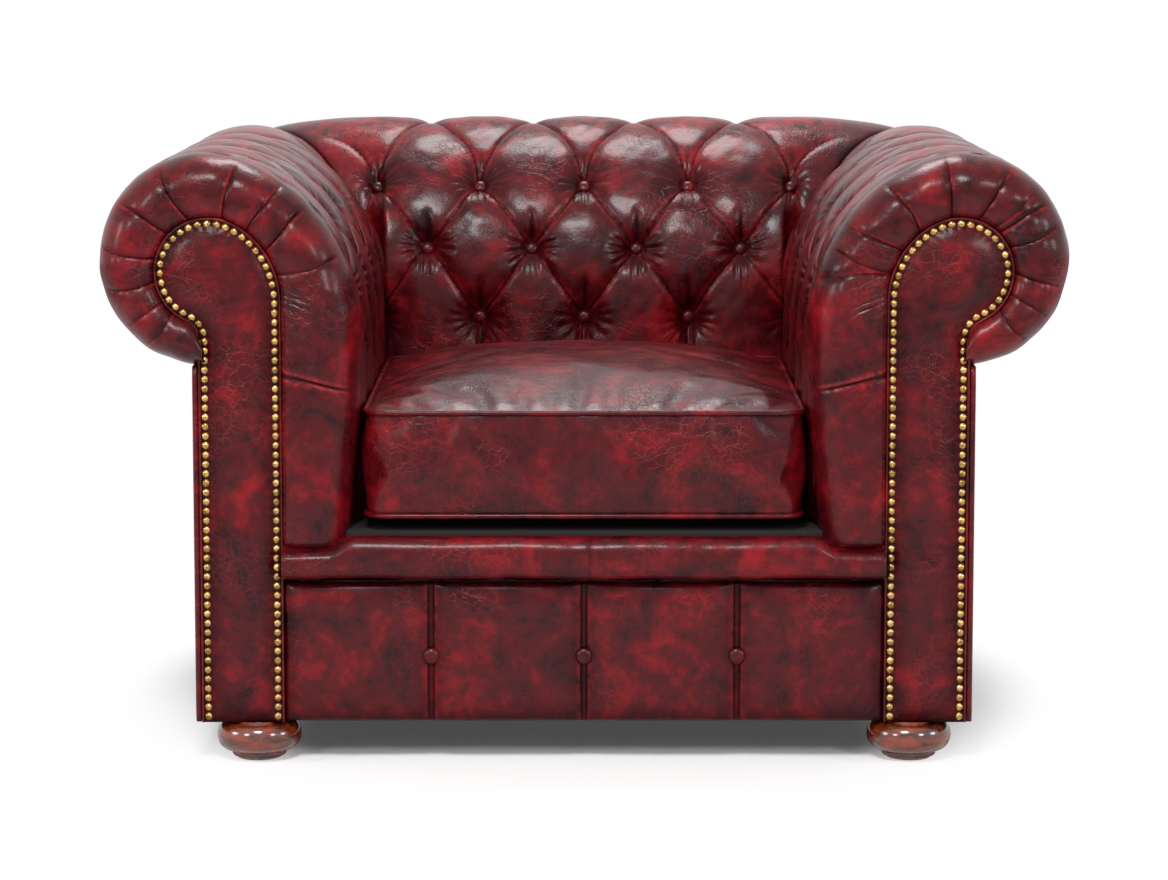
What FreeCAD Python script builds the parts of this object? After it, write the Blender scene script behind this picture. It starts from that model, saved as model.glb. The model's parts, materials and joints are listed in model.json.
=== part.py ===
import FreeCAD, Part
import math
import os

# Chesterfield armchair, in millimetres, +Z up. The origin is on the floor under
# the middle of the chair. The front faces -Y and left is -X.
# Most pieces are drawn for the left side, where w is the distance out from the
# middle plane, and the right one is their mirror image.

# Overall sizes
half_width = 550.0
front_y = -440.0
back_y = 440.0
arm_height = 695.0
back_rise = 7.0
underside = 46.0
seat_half_width = 256.0

# Scroll of the arms and the back
roll_radius = 119.0
sweep_radius = 205.0
roll_end_angle = 266.0
corner_squareness = 5.0
corner_fold_depth = 30.0
corner_fold_reach = 120.0
fan_steps = 4

# Seat height and cushion
deck_top = 266.0
cushion_side_gap = 2.0
cushion_front_y = -412.0
cushion_back_gap = 2.0
cushion_low_seam = 283.0
cushion_high_seam = 402.0
cushion_crown = 44.0
cushion_belly = 16.4
cushion_corner_radius = 28.0
cushion_draw_in = 3.0
cushion_piping_radius = 4.5
cushion_seam_inset = 3.0
cushion_side_inset = 0.5
crown_shape = ((0.0, 0.0), (0.3, 9.0), (0.62, 34.0), (0.84, 80.0), (0.96, 140.0), (1.0, 200.0))

# Deep buttoning
button_radius = 8.5
button_height = 5.5
button_depth = 20.0
button_seat = 12.0
button_seat_share = 0.85
fold_depth = 10.0
pleat_depth = 8.0
roll_fold_depth = 2.5
roll_plain_depth = 1.0
plain_depth = 2.0
pad_foot_depth = 4.0
low_row_drop = 248.0
middle_row_drop = 158.0
high_row_drop = 73.0
rim_angle = 88.0
column_pitch = 67.5
arm_button_front_gap = 58.0

# Upholstery layers
leather = 2.2
fit = 0.3
pad_thickness = 45.0
foam_fit = 0.6
deck_cover_thickness = 1.7
deck_overhang = 44.0
strap_thickness = 1.5
strap_width = 44.0
spring_cloth_thickness = 1.4
dust_cover_thickness = 1.4
panel_thickness = 8.0
panel_past_roll = 14.0
panel_roll_gap = 1.0
panel_corner_radius = 30.0
panel_front_step = 2.0
arm_strap_count = 5
strap_overlap = 50.0
back_strap_lift = 10.0

# Scroll facing of the arm front
facing_y = -418.0
facing_thickness = 13.7
facing_inner_reach = 81.0
facing_panel_gap = 0.5
facing_head_radius = 61.0
facing_head_shift = 6.0
facing_head_drop = 12.0
facing_sweep_radius = 100.0
facing_neck_radius = 25.0
band_gap = 0.9
band_bulge = 10.0
band_tuck = 8.0
band_pleat_depth = 4.0
nail_radius = 4.75
nail_height = 3.0
nail_pitch = 10.8
nail_inset = 6.5

# Front border and lip
border_top = 209.0
border_seam_depth = 5.0
border_seam_half_width = 10.0
border_seam_pitch = 175.0
border_button_radius = 9.75
border_button_height = 6.5
border_button_height_z = 122.0
lip_bottom = 213.0
lip_top = 262.0
lip_back_y = -400.0
lip_flat = 8.0

# Beech frame
board = 28.0
rail = 25.0
rail_bottom = 52.0
rail_top = 200.0
tack_rail_top = 262.0
top_rail_drop = 16.0
top_rail_thickness = 30.7
top_rail_past_roll = 71.7
top_rail_round = 15.7
rear_post_width = 45.0
rear_seat_rail_bottom = 130.0
block_size = 72.0
block_height = 40.0
block_chamfer = 30.0

# Seat springs
spring_count = 5
spring_pitch = 100.0
spring_wire = 4.0
spring_bar = 26.0
spring_bends = 26
spring_height = 6.0
clip_width = 16.0
clip_depth = 12.0
clip_wall = 1.5

# Feet
foot_radius = 48.5
foot_top_radius = 35.0
foot_ring_radius = 31.0
foot_ring_height = 8.0
foot_neck_height = 3.0
foot_spigot_radius = 15.0
foot_front_inset = 31.0
foot_front_setback = 52.0
foot_cloth_gap = 4.0
glide_radius = 25.0
glide_height = 3.0
bolt_radius = 4.0
bolt_bottom = 14.0
bolt_top = 84.0

# Places that follow from the sizes above
roll_w = half_width - roll_radius
roll_z = arm_height - roll_radius
roll_u = roll_w - seat_half_width
panel_offset = roll_u + panel_past_roll
depth_of_roll = half_width - seat_half_width
back_face_y = back_y - depth_of_roll
sweep_z = roll_z - math.sqrt((sweep_radius - roll_radius) ** 2 - (sweep_radius - roll_u) ** 2)
join_angle = math.atan2(roll_z - sweep_z, sweep_radius - roll_u)
pad_bottom = deck_top + fit
low_row_height = arm_height - low_row_drop
middle_row_height = arm_height - middle_row_drop
high_row_height = arm_height - high_row_drop
cushion_half_width = seat_half_width - cushion_side_gap
face_length = sweep_z - pad_bottom
sweep_length = sweep_radius * join_angle
roll_length = roll_radius * (math.radians(roll_end_angle) - join_angle)
post_front_y = facing_y + facing_thickness + fit
post_back_y = post_front_y + board
pad_front_y = post_back_y + fit
panel_inner = panel_offset - panel_thickness
panel_top = roll_z - roll_radius - panel_roll_gap
facing_head_w = roll_w - facing_head_shift
facing_head_height = roll_z - facing_head_drop
facing_inner = facing_head_w - facing_inner_reach
facing_outer = seat_half_width + panel_inner - facing_panel_gap
rear_rail_outer_y = back_face_y + panel_inner - fit
side_rail_outer = seat_half_width + panel_inner - fit
rear_post_outer = side_rail_outer - rail - fit
rear_post_back_y = rear_rail_outer_y - rail - fit
tack_u = pad_thickness + strap_thickness + 2 * fit
rear_seat_y = back_face_y + tack_u
top_rail_bottom = roll_z - top_rail_drop
top_rail_reach = roll_u + top_rail_past_roll
spring_z = rail_top + spring_height
clip_top = spring_z + spring_wire / 2 + fit + clip_wall
spring_cloth_z = clip_top + fit
seat_pad_bottom = spring_cloth_z + spring_cloth_thickness + fit
foot_rear_x = rear_post_outer - rear_post_width / 2
foot_rear_y = rear_post_back_y - rear_post_width / 2
foot_front_x = facing_inner + foot_front_inset
foot_front_y = front_y + foot_front_setback


def vec(x, y, z):
    return FreeCAD.Vector(x, y, z)


def save(name, shapes):
    """Write one node from a solid or a list of separate solids."""
    solids = shapes if isinstance(shapes, list) else [shapes]
    shape = solids[0] if len(solids) == 1 else Part.makeCompound(solids)
    if not shape.isValid():
        print("not valid:", name)
    shape.exportStep("parts/" + name + ".step")
    print(name, len(shape.Solids), round(shape.Volume / 1000.0, 1), "cm3")


def mirrored(shape):
    return shape.mirror(vec(0, 0, 0), vec(1, 0, 0))


def save_pair(name, shapes):
    """Write the left node and its mirror image."""
    solids = shapes if isinstance(shapes, list) else [shapes]
    save(name + "_left", solids)
    save(name + "_right", [mirrored(s) for s in solids])


def block(x0, x1, y0, y1, z0, z1):
    return Part.makeBox(x1 - x0, y1 - y0, z1 - z0, vec(x0, y0, z0))


def line(p, q):
    return Part.LineSegment(p, q).toShape()


def arc(p, q, r):
    return Part.Arc(p, q, r).toShape()


def polygon_wire(points):
    ring = points + [points[0]]
    return Part.Wire([line(ring[i], ring[i + 1]) for i in range(len(points))])


def extruded(wire, direction):
    return Part.Face(wire).extrude(direction)


def turned(shape):
    """A solid whose faces point outwards."""
    if shape.Volume < 0:
        shape.reverse()
    return shape


def ruled_loft(wires):
    return turned(Part.makeLoft(wires, True, True, False))


def revolved(points_and_mids, axis_point, axis):
    """A turned solid from a closed outline of lines and arcs (p, mid or None, q)."""
    edges = []
    for start, middle, end in points_and_mids:
        edges.append(line(start, end) if middle is None else arc(start, middle, end))
    face = Part.Face(Part.Wire(edges))
    return turned(face.revolve(axis_point, axis, 360))


class Path:
    """Lines and arcs in the upright plane of w and z, read by length or by part."""

    def __init__(self):
        self.parts = []

    def add_line(self, start, end):
        size = math.hypot(end[0] - start[0], end[1] - start[1])
        self.parts.append(("line", start, end, size))

    def add_arc(self, centre, radius, start, end):
        self.parts.append(("arc", centre, (radius, start, end), radius * abs(end - start)))

    def length(self):
        return sum(part[3] for part in self.parts)

    def in_part(self, index, share):
        kind, first, second, size = self.parts[index]
        if kind == "line":
            return tuple(first[i] + (second[i] - first[i]) * share for i in range(2))
        radius, start, end = second
        angle = start + (end - start) * share
        return first[0] - radius * math.cos(angle), first[1] + radius * math.sin(angle)

    def at(self, distance):
        for index, part in enumerate(self.parts):
            if distance <= part[3] or index == len(self.parts) - 1:
                return self.in_part(index, min(distance / part[3], 1.0))
            distance -= part[3]

    def edges(self, y):
        made = []
        for index, part in enumerate(self.parts):
            ends = [vec(-w, y, z) for w, z in (self.in_part(index, s) for s in (0.0, 0.5, 1.0))]
            made.append(line(ends[0], ends[2]) if part[0] == "line" else arc(*ends))
        return made


def facing_path(inset, bottom):
    """The scroll outline of the arm front, from the inner foot round to the outer one."""
    sweep_w = facing_inner + facing_sweep_radius
    rise = (facing_sweep_radius - facing_head_radius) ** 2 - (sweep_w - facing_head_w) ** 2
    sweep_height = facing_head_height - math.sqrt(rise)
    neck_w = facing_outer + facing_neck_radius
    fall = (facing_head_radius + facing_neck_radius) ** 2 - (neck_w - facing_head_w) ** 2
    neck_height = facing_head_height - math.sqrt(fall)
    join = math.atan2(facing_head_height - sweep_height, sweep_w - facing_head_w)
    neck = math.atan2(facing_head_height - neck_height, neck_w - facing_head_w)
    head = (facing_head_w, facing_head_height)
    path = Path()
    path.add_line((facing_inner + inset, bottom), (facing_inner + inset, sweep_height))
    path.add_arc((sweep_w, sweep_height), facing_sweep_radius - inset, 0.0, join)
    path.add_arc(head, facing_head_radius - inset, join, math.pi + neck)
    path.add_arc((neck_w, neck_height), facing_neck_radius + inset, neck, 0.0)
    path.add_line((facing_outer - inset, neck_height), (facing_outer - inset, bottom))
    return path


def facing_board(inset, bottom, y_front, y_back):
    path = facing_path(inset, bottom)
    edges = path.edges(y_front)
    first = path.at(0.0)
    last = path.at(path.length())
    edges.append(line(vec(-last[0], y_front, last[1]), vec(-first[0], y_front, first[1])))
    return turned(extruded(Part.Wire(edges), vec(0, y_back - y_front, 0)))


def profile(distance, depth, rise=0.0):
    """A point of the arm or back section: u out from the seat face, and height."""
    if distance <= face_length:
        return depth, pad_bottom + distance * (1.0 + rise / face_length)
    if distance <= face_length + sweep_length:
        angle = (distance - face_length) / sweep_radius
        reach = sweep_radius - depth
        return sweep_radius - reach * math.cos(angle), sweep_z + rise + reach * math.sin(angle)
    angle = join_angle + (distance - face_length - sweep_length) / roll_radius
    reach = roll_radius - depth
    return roll_u - reach * math.cos(angle), roll_z + rise + reach * math.sin(angle)


def profile_angle(distance):
    """Direction of the outside of the pad, from level inwards up and over the roll."""
    if distance <= face_length:
        return 0.0
    if distance <= face_length + sweep_length:
        return (distance - face_length) / sweep_radius
    return join_angle + (distance - face_length - sweep_length) / roll_radius


def row_distance(height):
    if height <= sweep_z:
        return height - pad_bottom
    return face_length + sweep_radius * math.asin((height - sweep_z) / sweep_radius)


low_row = row_distance(low_row_height)
middle_row = row_distance(middle_row_height)
high_row = row_distance(high_row_height)
rim = face_length + sweep_length + roll_radius * (math.radians(rim_angle) - join_angle)
chain_end = face_length + sweep_length + roll_length
roll_share = (0.36, 0.62, 0.82)


def fold_points(phase):
    """Where the folds of the buttoning cross a section, as distance and depth.

    low: a column with buttons in the low and high rows.  high: one with a button in
    the middle row.  fold: halfway, where only the folds cross.  plain: no folds.
    """
    low = [(low_row - button_seat, button_depth), (low_row + button_seat, button_depth),
           (high_row - button_seat, button_depth), (high_row + button_seat, button_depth)]
    high = [(2 * low_row - middle_row, fold_depth), (middle_row - button_seat, button_depth),
            (middle_row + button_seat, button_depth), (rim, pleat_depth)]
    if phase == "low":
        return low
    if phase == "high":
        return high
    depth = fold_depth if phase == "fold" else plain_depth
    return [((a[0] + b[0]) / 2, depth) for a, b in zip(low, high)]


def chain_points(phase, under):
    """Section points with the middle of each arc, at a depth under the leather face."""
    crest = 0.0
    roll_depths = {"low": 0.0, "high": pleat_depth, "fold": roll_fold_depth,
                   "plain": roll_plain_depth}
    roll_depth = roll_depths[phase]
    knots = [(0.0, pad_foot_depth)] + fold_points(phase)
    for share in roll_share + (1.0,):
        knots.append((rim + (chain_end - rim) * share, roll_depth))
    chain = []
    for first, second in zip(knots, knots[1:]):
        middle = (first[0] + second[0]) / 2
        short = second[0] - first[0] < 2.5 * button_seat
        if first[0] >= rim:
            bulge = roll_depth
        elif short:
            bulge = first[1] - 0.5
        else:
            bulge = crest
        chain.append((first, (middle, bulge), second))
    return [tuple((s, d + under) for s, d in three) for three in chain]


class Station:
    """A place along the pad: a base point, the way out from the seat, and its phase."""

    def __init__(self, base, out, phase, stretch=1.0, fold=0.0, rise=0.0):
        self.base = base
        self.out = out
        self.phase = phase
        self.stretch = stretch
        self.fold = fold
        self.rise = rise

    def place(self, u, z):
        reach = u * self.stretch + self.fold * max(0.0, 1.0 - u / corner_fold_reach)
        return vec(self.base[0] + self.out[0] * reach, self.base[1] + self.out[1] * reach, z)

    def at(self, distance, depth):
        return self.place(*profile(distance, depth, self.rise))

    def chain(self, under):
        return [arc(*(self.at(s, d) for s, d in three)) for three in chain_points(self.phase, under)]

    def cover_wire(self):
        outer = self.chain(0.0)
        inner = self.chain(leather)
        first = chain_points(self.phase, 0.0)[0][0]
        last = chain_points(self.phase, 0.0)[-1][2]
        close_top = line(self.at(*last), self.at(last[0], last[1] + leather))
        close_low = line(self.at(first[0], first[1] + leather), self.at(*first))
        return Part.Wire(outer + [close_top] + list(reversed(inner)) + [close_low])

    def foam_wire(self):
        under = leather + foam_fit
        outer = self.chain(under)
        points = chain_points(self.phase, under)
        first = self.at(*points[0][0])
        last = self.at(*points[-1][2])
        last_u = profile(points[-1][2][0], points[-1][2][1], self.rise)[0]
        low = top_rail_bottom - fit + self.rise
        high = top_rail_bottom + top_rail_thickness + fit + self.rise
        reach = top_rail_reach + fit
        bend = top_rail_round + fit
        lift = bend * (1.0 - math.sqrt(0.5))
        near = pad_thickness
        edges = outer
        edges.append(line(last, self.place(last_u, low)))
        edges.append(line(self.place(last_u, low), self.place(reach, low)))
        edges.append(line(self.place(reach, low), self.place(reach, high - bend)))
        edges.append(arc(self.place(reach, high - bend), self.place(reach - lift, high - lift),
                         self.place(reach - bend, high)))
        edges.append(line(self.place(reach - bend, high), self.place(near + bend, high)))
        edges.append(arc(self.place(near + bend, high), self.place(near + lift, high - lift),
                         self.place(near, high - bend)))
        edges.append(line(self.place(near, high - bend), self.place(near, pad_bottom)))
        edges.append(line(self.place(near, pad_bottom), first))
        return Part.Wire(edges)

    def rail_wire(self):
        low = top_rail_bottom + self.rise
        high = low + top_rail_thickness
        bend = top_rail_round
        lift = bend * (1.0 - math.sqrt(0.5))
        near = tack_u
        far = top_rail_reach
        edges = [line(self.place(near, low), self.place(far, low)),
                 line(self.place(far, low), self.place(far, high - bend)),
                 arc(self.place(far, high - bend), self.place(far - lift, high - lift),
                     self.place(far - bend, high)),
                 line(self.place(far - bend, high), self.place(near + bend, high)),
                 arc(self.place(near + bend, high), self.place(near + lift, high - lift),
                     self.place(near, high - bend)),
                 line(self.place(near, high - bend), self.place(near, low))]
        return Part.Wire(edges)


def fan_station(angle, shift, rise):
    """A section in the rear corner, where the arm's scroll turns into the back's."""
    out = (-math.cos(angle), math.sin(angle))
    along = (math.sin(angle), math.cos(angle))
    power = corner_squareness
    total = math.cos(angle) ** power + math.sin(angle) ** power
    stretch = total ** (-1.0 / power)
    base = (-seat_half_width + along[0] * shift, back_face_y + along[1] * shift)
    fold = corner_fold_depth * math.sin(2.0 * angle)
    return Station(base, out, "plain", stretch, fold, rise)


def half_fan(from_arm):
    """Stations from the flat pad to the mitre, without the first."""
    made = []
    for step in range(1, fan_steps + 1):
        share = step / fan_steps
        shift = -fit / 2 if from_arm else fit / 2
        shift *= 1.0 if step == fan_steps else 0.0
        if from_arm:
            made.append(fan_station(math.pi / 4 * share, shift, back_rise / 2 * share))
        else:
            rise = back_rise / 2 * (2.0 - share)
            made.append(fan_station(math.pi / 4 * (2.0 - share), shift, rise))
    return made


def pleat_positions(columns):
    """Columns with both edges of their button seats, and the folds halfway between."""
    places = []
    for index, (centre, phase) in enumerate(columns):
        if index > 0:
            places.append(((columns[index - 1][0] + centre) / 2, "fold"))
        places.append((centre - button_seat * button_seat_share, phase))
        places.append((centre + button_seat * button_seat_share, phase))
    return places


arm_column_count = int((back_face_y - pad_front_y - arm_button_front_gap) / column_pitch)
arm_columns = []
for number in range(arm_column_count + 1):
    place = pad_front_y + arm_button_front_gap + number * column_pitch
    if place < back_face_y - button_seat * 2.0:
        arm_columns.append((place, "high" if number % 2 == 0 else "low"))

back_columns = []
back_column_reach = int((seat_half_width - button_seat * 2.0) / column_pitch)
for number in range(-back_column_reach, back_column_reach + 1):
    back_columns.append((number * column_pitch, "low" if number % 2 == 0 else "high"))


def arm_stations():
    made = [Station((-seat_half_width, pad_front_y), (-1.0, 0.0), "plain")]
    for y, phase in pleat_positions(arm_columns):
        made.append(Station((-seat_half_width, y), (-1.0, 0.0), phase))
    made.append(Station((-seat_half_width, back_face_y), (-1.0, 0.0), "plain"))
    return made + half_fan(True)


def mirrored_station(station):
    base = (-station.base[0], station.base[1])
    out = (-station.out[0], station.out[1])
    return Station(base, out, station.phase, station.stretch, station.fold, station.rise)


def back_stations():
    fan = half_fan(False)
    edge = Station((-seat_half_width, back_face_y), (0.0, 1.0), "plain", rise=back_rise)
    made = list(reversed(fan)) + [edge]
    for x, phase in pleat_positions(back_columns):
        made.append(Station((x, back_face_y), (0.0, 1.0), phase, rise=back_rise))
    return made + [mirrored_station(edge)] + [mirrored_station(s) for s in fan]


def dome(radius, height):
    """A button or nail head: a low cap of a ball standing on z = 0."""
    ball = (radius ** 2 + height ** 2) / (2.0 * height)
    sweep = math.atan2(radius, ball - height) / 2.0
    middle = vec(ball * math.sin(sweep), 0, ball * math.cos(sweep) - (ball - height))
    steps = [(vec(0, 0, 0), None, vec(radius, 0, 0)),
             (vec(radius, 0, 0), middle, vec(0, 0, height)),
             (vec(0, 0, height), None, vec(0, 0, 0))]
    return revolved(steps, vec(0, 0, 0), vec(0, 0, 1))


def placed(shape, point, direction):
    copy = shape.copy()
    turn = FreeCAD.Rotation(vec(0, 0, 1), direction)
    copy.Placement = FreeCAD.Placement(point, turn)
    return copy


def tuft_buttons(stations_and_phases, out, base_of, rise):
    """Buttons in the seats of the buttoning, each just clear of the leather."""
    made = []
    button = dome(button_radius, button_height)
    for centre, phase in stations_and_phases:
        rows = [low_row, high_row] if phase == "low" else [middle_row]
        station = Station(base_of(centre), out, phase, rise=rise)
        for row in rows:
            angle = profile_angle(row)
            point = station.at(row, button_depth - 0.5 - fit * 1.5)
            way = vec(-out[0] * math.cos(angle), -out[1] * math.cos(angle), math.sin(angle))
            made.append(placed(button, point, way))
    return made


def pads():
    arm = arm_stations()
    back = back_stations()
    save_pair("arm_cover", ruled_loft([s.cover_wire() for s in arm]))
    save_pair("arm_foam", ruled_loft([s.foam_wire() for s in arm]))
    save("back_cover", ruled_loft([s.cover_wire() for s in back]))
    save("back_foam", ruled_loft([s.foam_wire() for s in back]))
    save_pair("arm_buttons", tuft_buttons(
        arm_columns, (-1.0, 0.0), lambda y: (-seat_half_width, y), 0.0))
    save("back_buttons", tuft_buttons(
        back_columns, (0.0, 1.0), lambda x: (x, back_face_y), back_rise))


def top_rails():
    """Scroll boards that carry the pads, with a curved board in each rear corner."""
    front = Station((-seat_half_width, pad_front_y), (-1.0, 0.0), "plain")
    rear = Station((-seat_half_width, back_face_y - fit), (-1.0, 0.0), "plain")
    save_pair("arm_top_rail", ruled_loft([front.rail_wire(), rear.rail_wire()]))
    left = Station((-seat_half_width + fit, back_face_y), (0.0, 1.0), "plain", rise=back_rise)
    right = mirrored_station(left)
    save("back_top_rail", ruled_loft([left.rail_wire(), right.rail_wire()]))
    turn = [fan_station(0.0, 0.0, 0.0)]
    for step in range(1, fan_steps + 1):
        share = step / fan_steps
        turn.append(fan_station(math.pi / 4 * share, 0.0, back_rise / 2 * share))
    for step in range(1, fan_steps + 1):
        share = step / fan_steps
        rise = back_rise / 2 * (1.0 + share)
        turn.append(fan_station(math.pi / 4 * (1.0 + share), 0.0, rise))
    save_pair("scroll_corner_board", ruled_loft([s.rail_wire() for s in turn]))


def band_sections():
    """Matching points of the facing's outline and the arm's outline, up and over."""
    facing = facing_path(-band_gap, pad_bottom)
    arm = Path()
    arm.add_line((seat_half_width, pad_bottom), (seat_half_width, sweep_z))
    arm.add_arc((seat_half_width + sweep_radius, sweep_z), sweep_radius, 0.0, join_angle)
    arm.add_arc((roll_w, roll_z), roll_radius, join_angle, math.radians(roll_end_angle))
    made = []
    for part, count in ((0, 4), (1, 6), (2, 12)):
        for step in range(count + (1 if part == 2 else 0)):
            share = step / count
            made.append((facing.in_part(part, share), arm.in_part(part, share)))
    return made


def band_point(pair, share, y, under):
    """A point between the two outlines, drawn in from the arm's outline by under."""
    (w0, z0), (w1, z1) = pair
    size = math.hypot(w1 - w0, z1 - z0)
    along = share * (size - under) / size
    return vec(-(w0 + (w1 - w0) * along), y, z0 + (z1 - z0) * along)


def band_chain(pair, pleat, under):
    forward = facing_y - band_bulge + pleat + under
    edge = facing_y + band_tuck + under
    turn = (post_back_y - forward) * (1.0 - math.sqrt(0.5))
    points = [band_point(pair, 0.0, edge, under),
              band_point(pair, 0.2, (edge + forward * 2.0) / 3.0 - 1.0, under),
              band_point(pair, 0.48, forward, under),
              band_point(pair, 0.85, forward + turn, under),
              band_point(pair, 1.0, post_back_y, under)]
    return points


def arm_front():
    """The padded leather band between the scroll facing and the arm's edge."""
    cover = []
    foam = []
    for index, pair in enumerate(band_sections()):
        pleat = band_pleat_depth if index % 2 else 0.0
        outer = band_chain(pair, pleat, 0.0)
        inner = band_chain(pair, pleat, leather)
        cover.append(Part.Wire([arc(*outer[0:3]), arc(*outer[2:5]), line(outer[4], inner[4]),
                                arc(inner[4], inner[3], inner[2]),
                                arc(inner[2], inner[1], inner[0]), line(inner[0], outer[0])]))
        core = band_chain(pair, pleat, leather + fit)
        root = band_point(pair, 0.0, post_back_y, leather)
        foam.append(Part.Wire([arc(*core[0:3]), arc(*core[2:5]), line(core[4], root),
                               line(root, core[0])]))
    save_pair("arm_front_cover", ruled_loft(cover))
    save_pair("arm_front_foam", ruled_loft(foam))


def bolt_bore(x, y):
    """The hole of a foot bolt, up from the underside of the frame."""
    depth = bolt_top - rail_bottom + fit
    return Part.makeCylinder(bolt_radius + fit, depth, vec(x, y, rail_bottom), vec(0, 0, 1))


def facings():
    save_pair("arm_facing", facing_board(0.0, underside, facing_y, facing_y + facing_thickness))
    post = facing_board(facing_panel_gap, rail_bottom, post_front_y, post_back_y)
    save_pair("arm_post", post.cut(bolt_bore(-foot_front_x, foot_front_y)))
    path = facing_path(nail_inset, underside)
    count = int(path.length() / nail_pitch)
    start = (path.length() - (count - 1) * nail_pitch) / 2
    head = dome(nail_radius, nail_height)
    nails = []
    for number in range(count):
        w, z = path.at(start + number * nail_pitch)
        nails.append(placed(head, vec(-w, facing_y, z), vec(0, -1, 0)))
    save_pair("facing_nails", nails)


def outside_panels():
    outer = seat_half_width + panel_offset
    inner = seat_half_width + panel_inner
    rear = back_face_y + panel_offset
    corner_y = rear - panel_corner_radius
    front = facing_y + panel_front_step
    edge = panel_thickness - facing_panel_gap
    corner = edge * (1.0 - math.sqrt(0.5))
    wire = Part.Wire([
        line(vec(-inner, front, underside), vec(-inner, corner_y - fit, underside)),
        line(vec(-inner, corner_y - fit, underside), vec(-outer, corner_y - fit, underside)),
        line(vec(-outer, corner_y - fit, underside), vec(-outer, front + edge, underside)),
        arc(vec(-outer, front + edge, underside), vec(-outer + corner, front + corner, underside),
            vec(-outer + edge, front, underside)),
        line(vec(-outer + edge, front, underside), vec(-inner, front, underside))])
    save_pair("outside_arm", turned(extruded(wire, vec(0, 0, panel_top - underside))))

    def bend(side, radius):
        centre = vec(side * (outer - panel_corner_radius), corner_y, underside)
        slope = radius * math.sqrt(0.5)
        return [centre + vec(side * radius, 0, 0), centre + vec(side * slope, slope, 0),
                centre + vec(0, radius, 0)]

    big_left = bend(-1, panel_corner_radius)
    big_right = bend(1, panel_corner_radius)
    small_left = bend(-1, panel_corner_radius - panel_thickness)
    small_right = bend(1, panel_corner_radius - panel_thickness)
    rear_wire = Part.Wire([
        arc(*big_left), line(big_left[2], big_right[2]), arc(*reversed(big_right)),
        line(big_right[0], small_right[0]), arc(*small_right),
        line(small_right[2], small_left[2]), arc(*reversed(small_left)),
        line(small_left[0], big_left[0])])
    save("outside_back", turned(extruded(rear_wire, vec(0, 0, panel_top - underside))))


def front_border():
    """The padded border under the lip, with its sewn strips and their buttons."""
    side = facing_inner - fit
    back = lip_back_y - fit
    low = facing_y + border_seam_depth
    points = [(-side, low)]
    for centre in (-border_seam_pitch, 0.0, border_seam_pitch):
        points.append((centre - border_seam_half_width, low))
        points.append((centre + border_seam_half_width, low))
    points.append((side, low))
    edges = []
    for index, (first, second) in enumerate(zip(points, points[1:])):
        start = vec(first[0], first[1], underside)
        end = vec(second[0], second[1], underside)
        if index % 2:
            edges.append(line(start, end))
        else:
            middle = vec((first[0] + second[0]) / 2, facing_y, underside)
            edges.append(arc(start, middle, end))
    edges.append(line(vec(side, low, underside), vec(side, back, underside)))
    edges.append(line(vec(side, back, underside), vec(-side, back, underside)))
    edges.append(line(vec(-side, back, underside), vec(-side, low, underside)))
    save("front_border", turned(extruded(Part.Wire(edges), vec(0, 0, border_top - underside))))
    button = dome(border_button_radius, border_button_height)
    made = []
    for centre in (-border_seam_pitch, 0.0, border_seam_pitch):
        point = vec(centre, low - fit, border_button_height_z)
        made.append(placed(button, point, vec(0, -1, 0)))
    save("border_buttons", made)


def front_lip():
    side = facing_inner - fit
    middle_z = (lip_bottom + lip_top) / 2
    bend_y = lip_back_y - lip_flat
    half = (lip_top - lip_bottom) / 2
    slope = math.sqrt(0.5)
    span = bend_y - front_y
    wire = Part.Wire([
        line(vec(-side, lip_back_y, lip_bottom), vec(-side, bend_y, lip_bottom)),
        arc(vec(-side, bend_y, lip_bottom),
            vec(-side, bend_y - span * slope, middle_z - half * slope),
            vec(-side, front_y, middle_z)),
        arc(vec(-side, front_y, middle_z),
            vec(-side, bend_y - span * slope, middle_z + half * slope),
            vec(-side, bend_y, lip_top)),
        line(vec(-side, bend_y, lip_top), vec(-side, lip_back_y, lip_top)),
        line(vec(-side, lip_back_y, lip_top), vec(-side, lip_back_y, lip_bottom))])
    save("front_lip", turned(extruded(wire, vec(2 * side, 0, 0))))


def cushion_ring(z, inset, draw=cushion_draw_in):
    """A level outline of the cushion: round corners, and sides drawn in between them."""
    front = cushion_front_y
    rear = back_face_y - cushion_back_gap
    middle_y = (front + rear) / 2
    half_x = cushion_half_width - inset
    half_y = (rear - front) / 2 - inset
    radius = min(cushion_corner_radius + inset * 0.45, 0.9 * half_x, 0.9 * half_y)
    slope = radius * (1.0 - math.sqrt(0.5))
    corner = {}
    for name, sx, sy in (("a", 1, 1), ("b", -1, 1), ("c", -1, -1), ("d", 1, -1)):
        x = sx * half_x
        y = sy * half_y
        corner[name] = (vec(x, middle_y + y - sy * radius, z),
                        vec(x - sx * slope, middle_y + y - sy * slope, z),
                        vec(x - sx * radius, middle_y + y, z))
    a, b, c, d = corner["a"], corner["b"], corner["c"], corner["d"]
    if draw == 0.0:
        return Part.Wire([arc(*a), line(a[2], b[2]), arc(*reversed(b)), line(b[0], c[0]),
                          arc(*c), line(c[2], d[2]), arc(*reversed(d)), line(d[0], a[0])])
    return Part.Wire([
        arc(*a), arc(a[2], vec(0, middle_y + half_y - draw, z), b[2]), arc(*reversed(b)),
        arc(b[0], vec(-half_x + draw, middle_y, z), c[0]), arc(*c),
        arc(c[2], vec(0, middle_y - half_y + draw, z), d[2]), arc(*reversed(d)),
        arc(d[0], vec(half_x - draw, middle_y, z), a[0])])


def crown_rings(base_z, height, base_inset, under):
    """Rings from the seam to the top of a crown, or to a belly where height is negative."""
    way = 1.0 if height > 0 else -1.0
    made = []
    for share, inset in crown_shape:
        z = base_z + (height - way * under) * share
        made.append((z, base_inset + under + inset))
    return made


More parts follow.
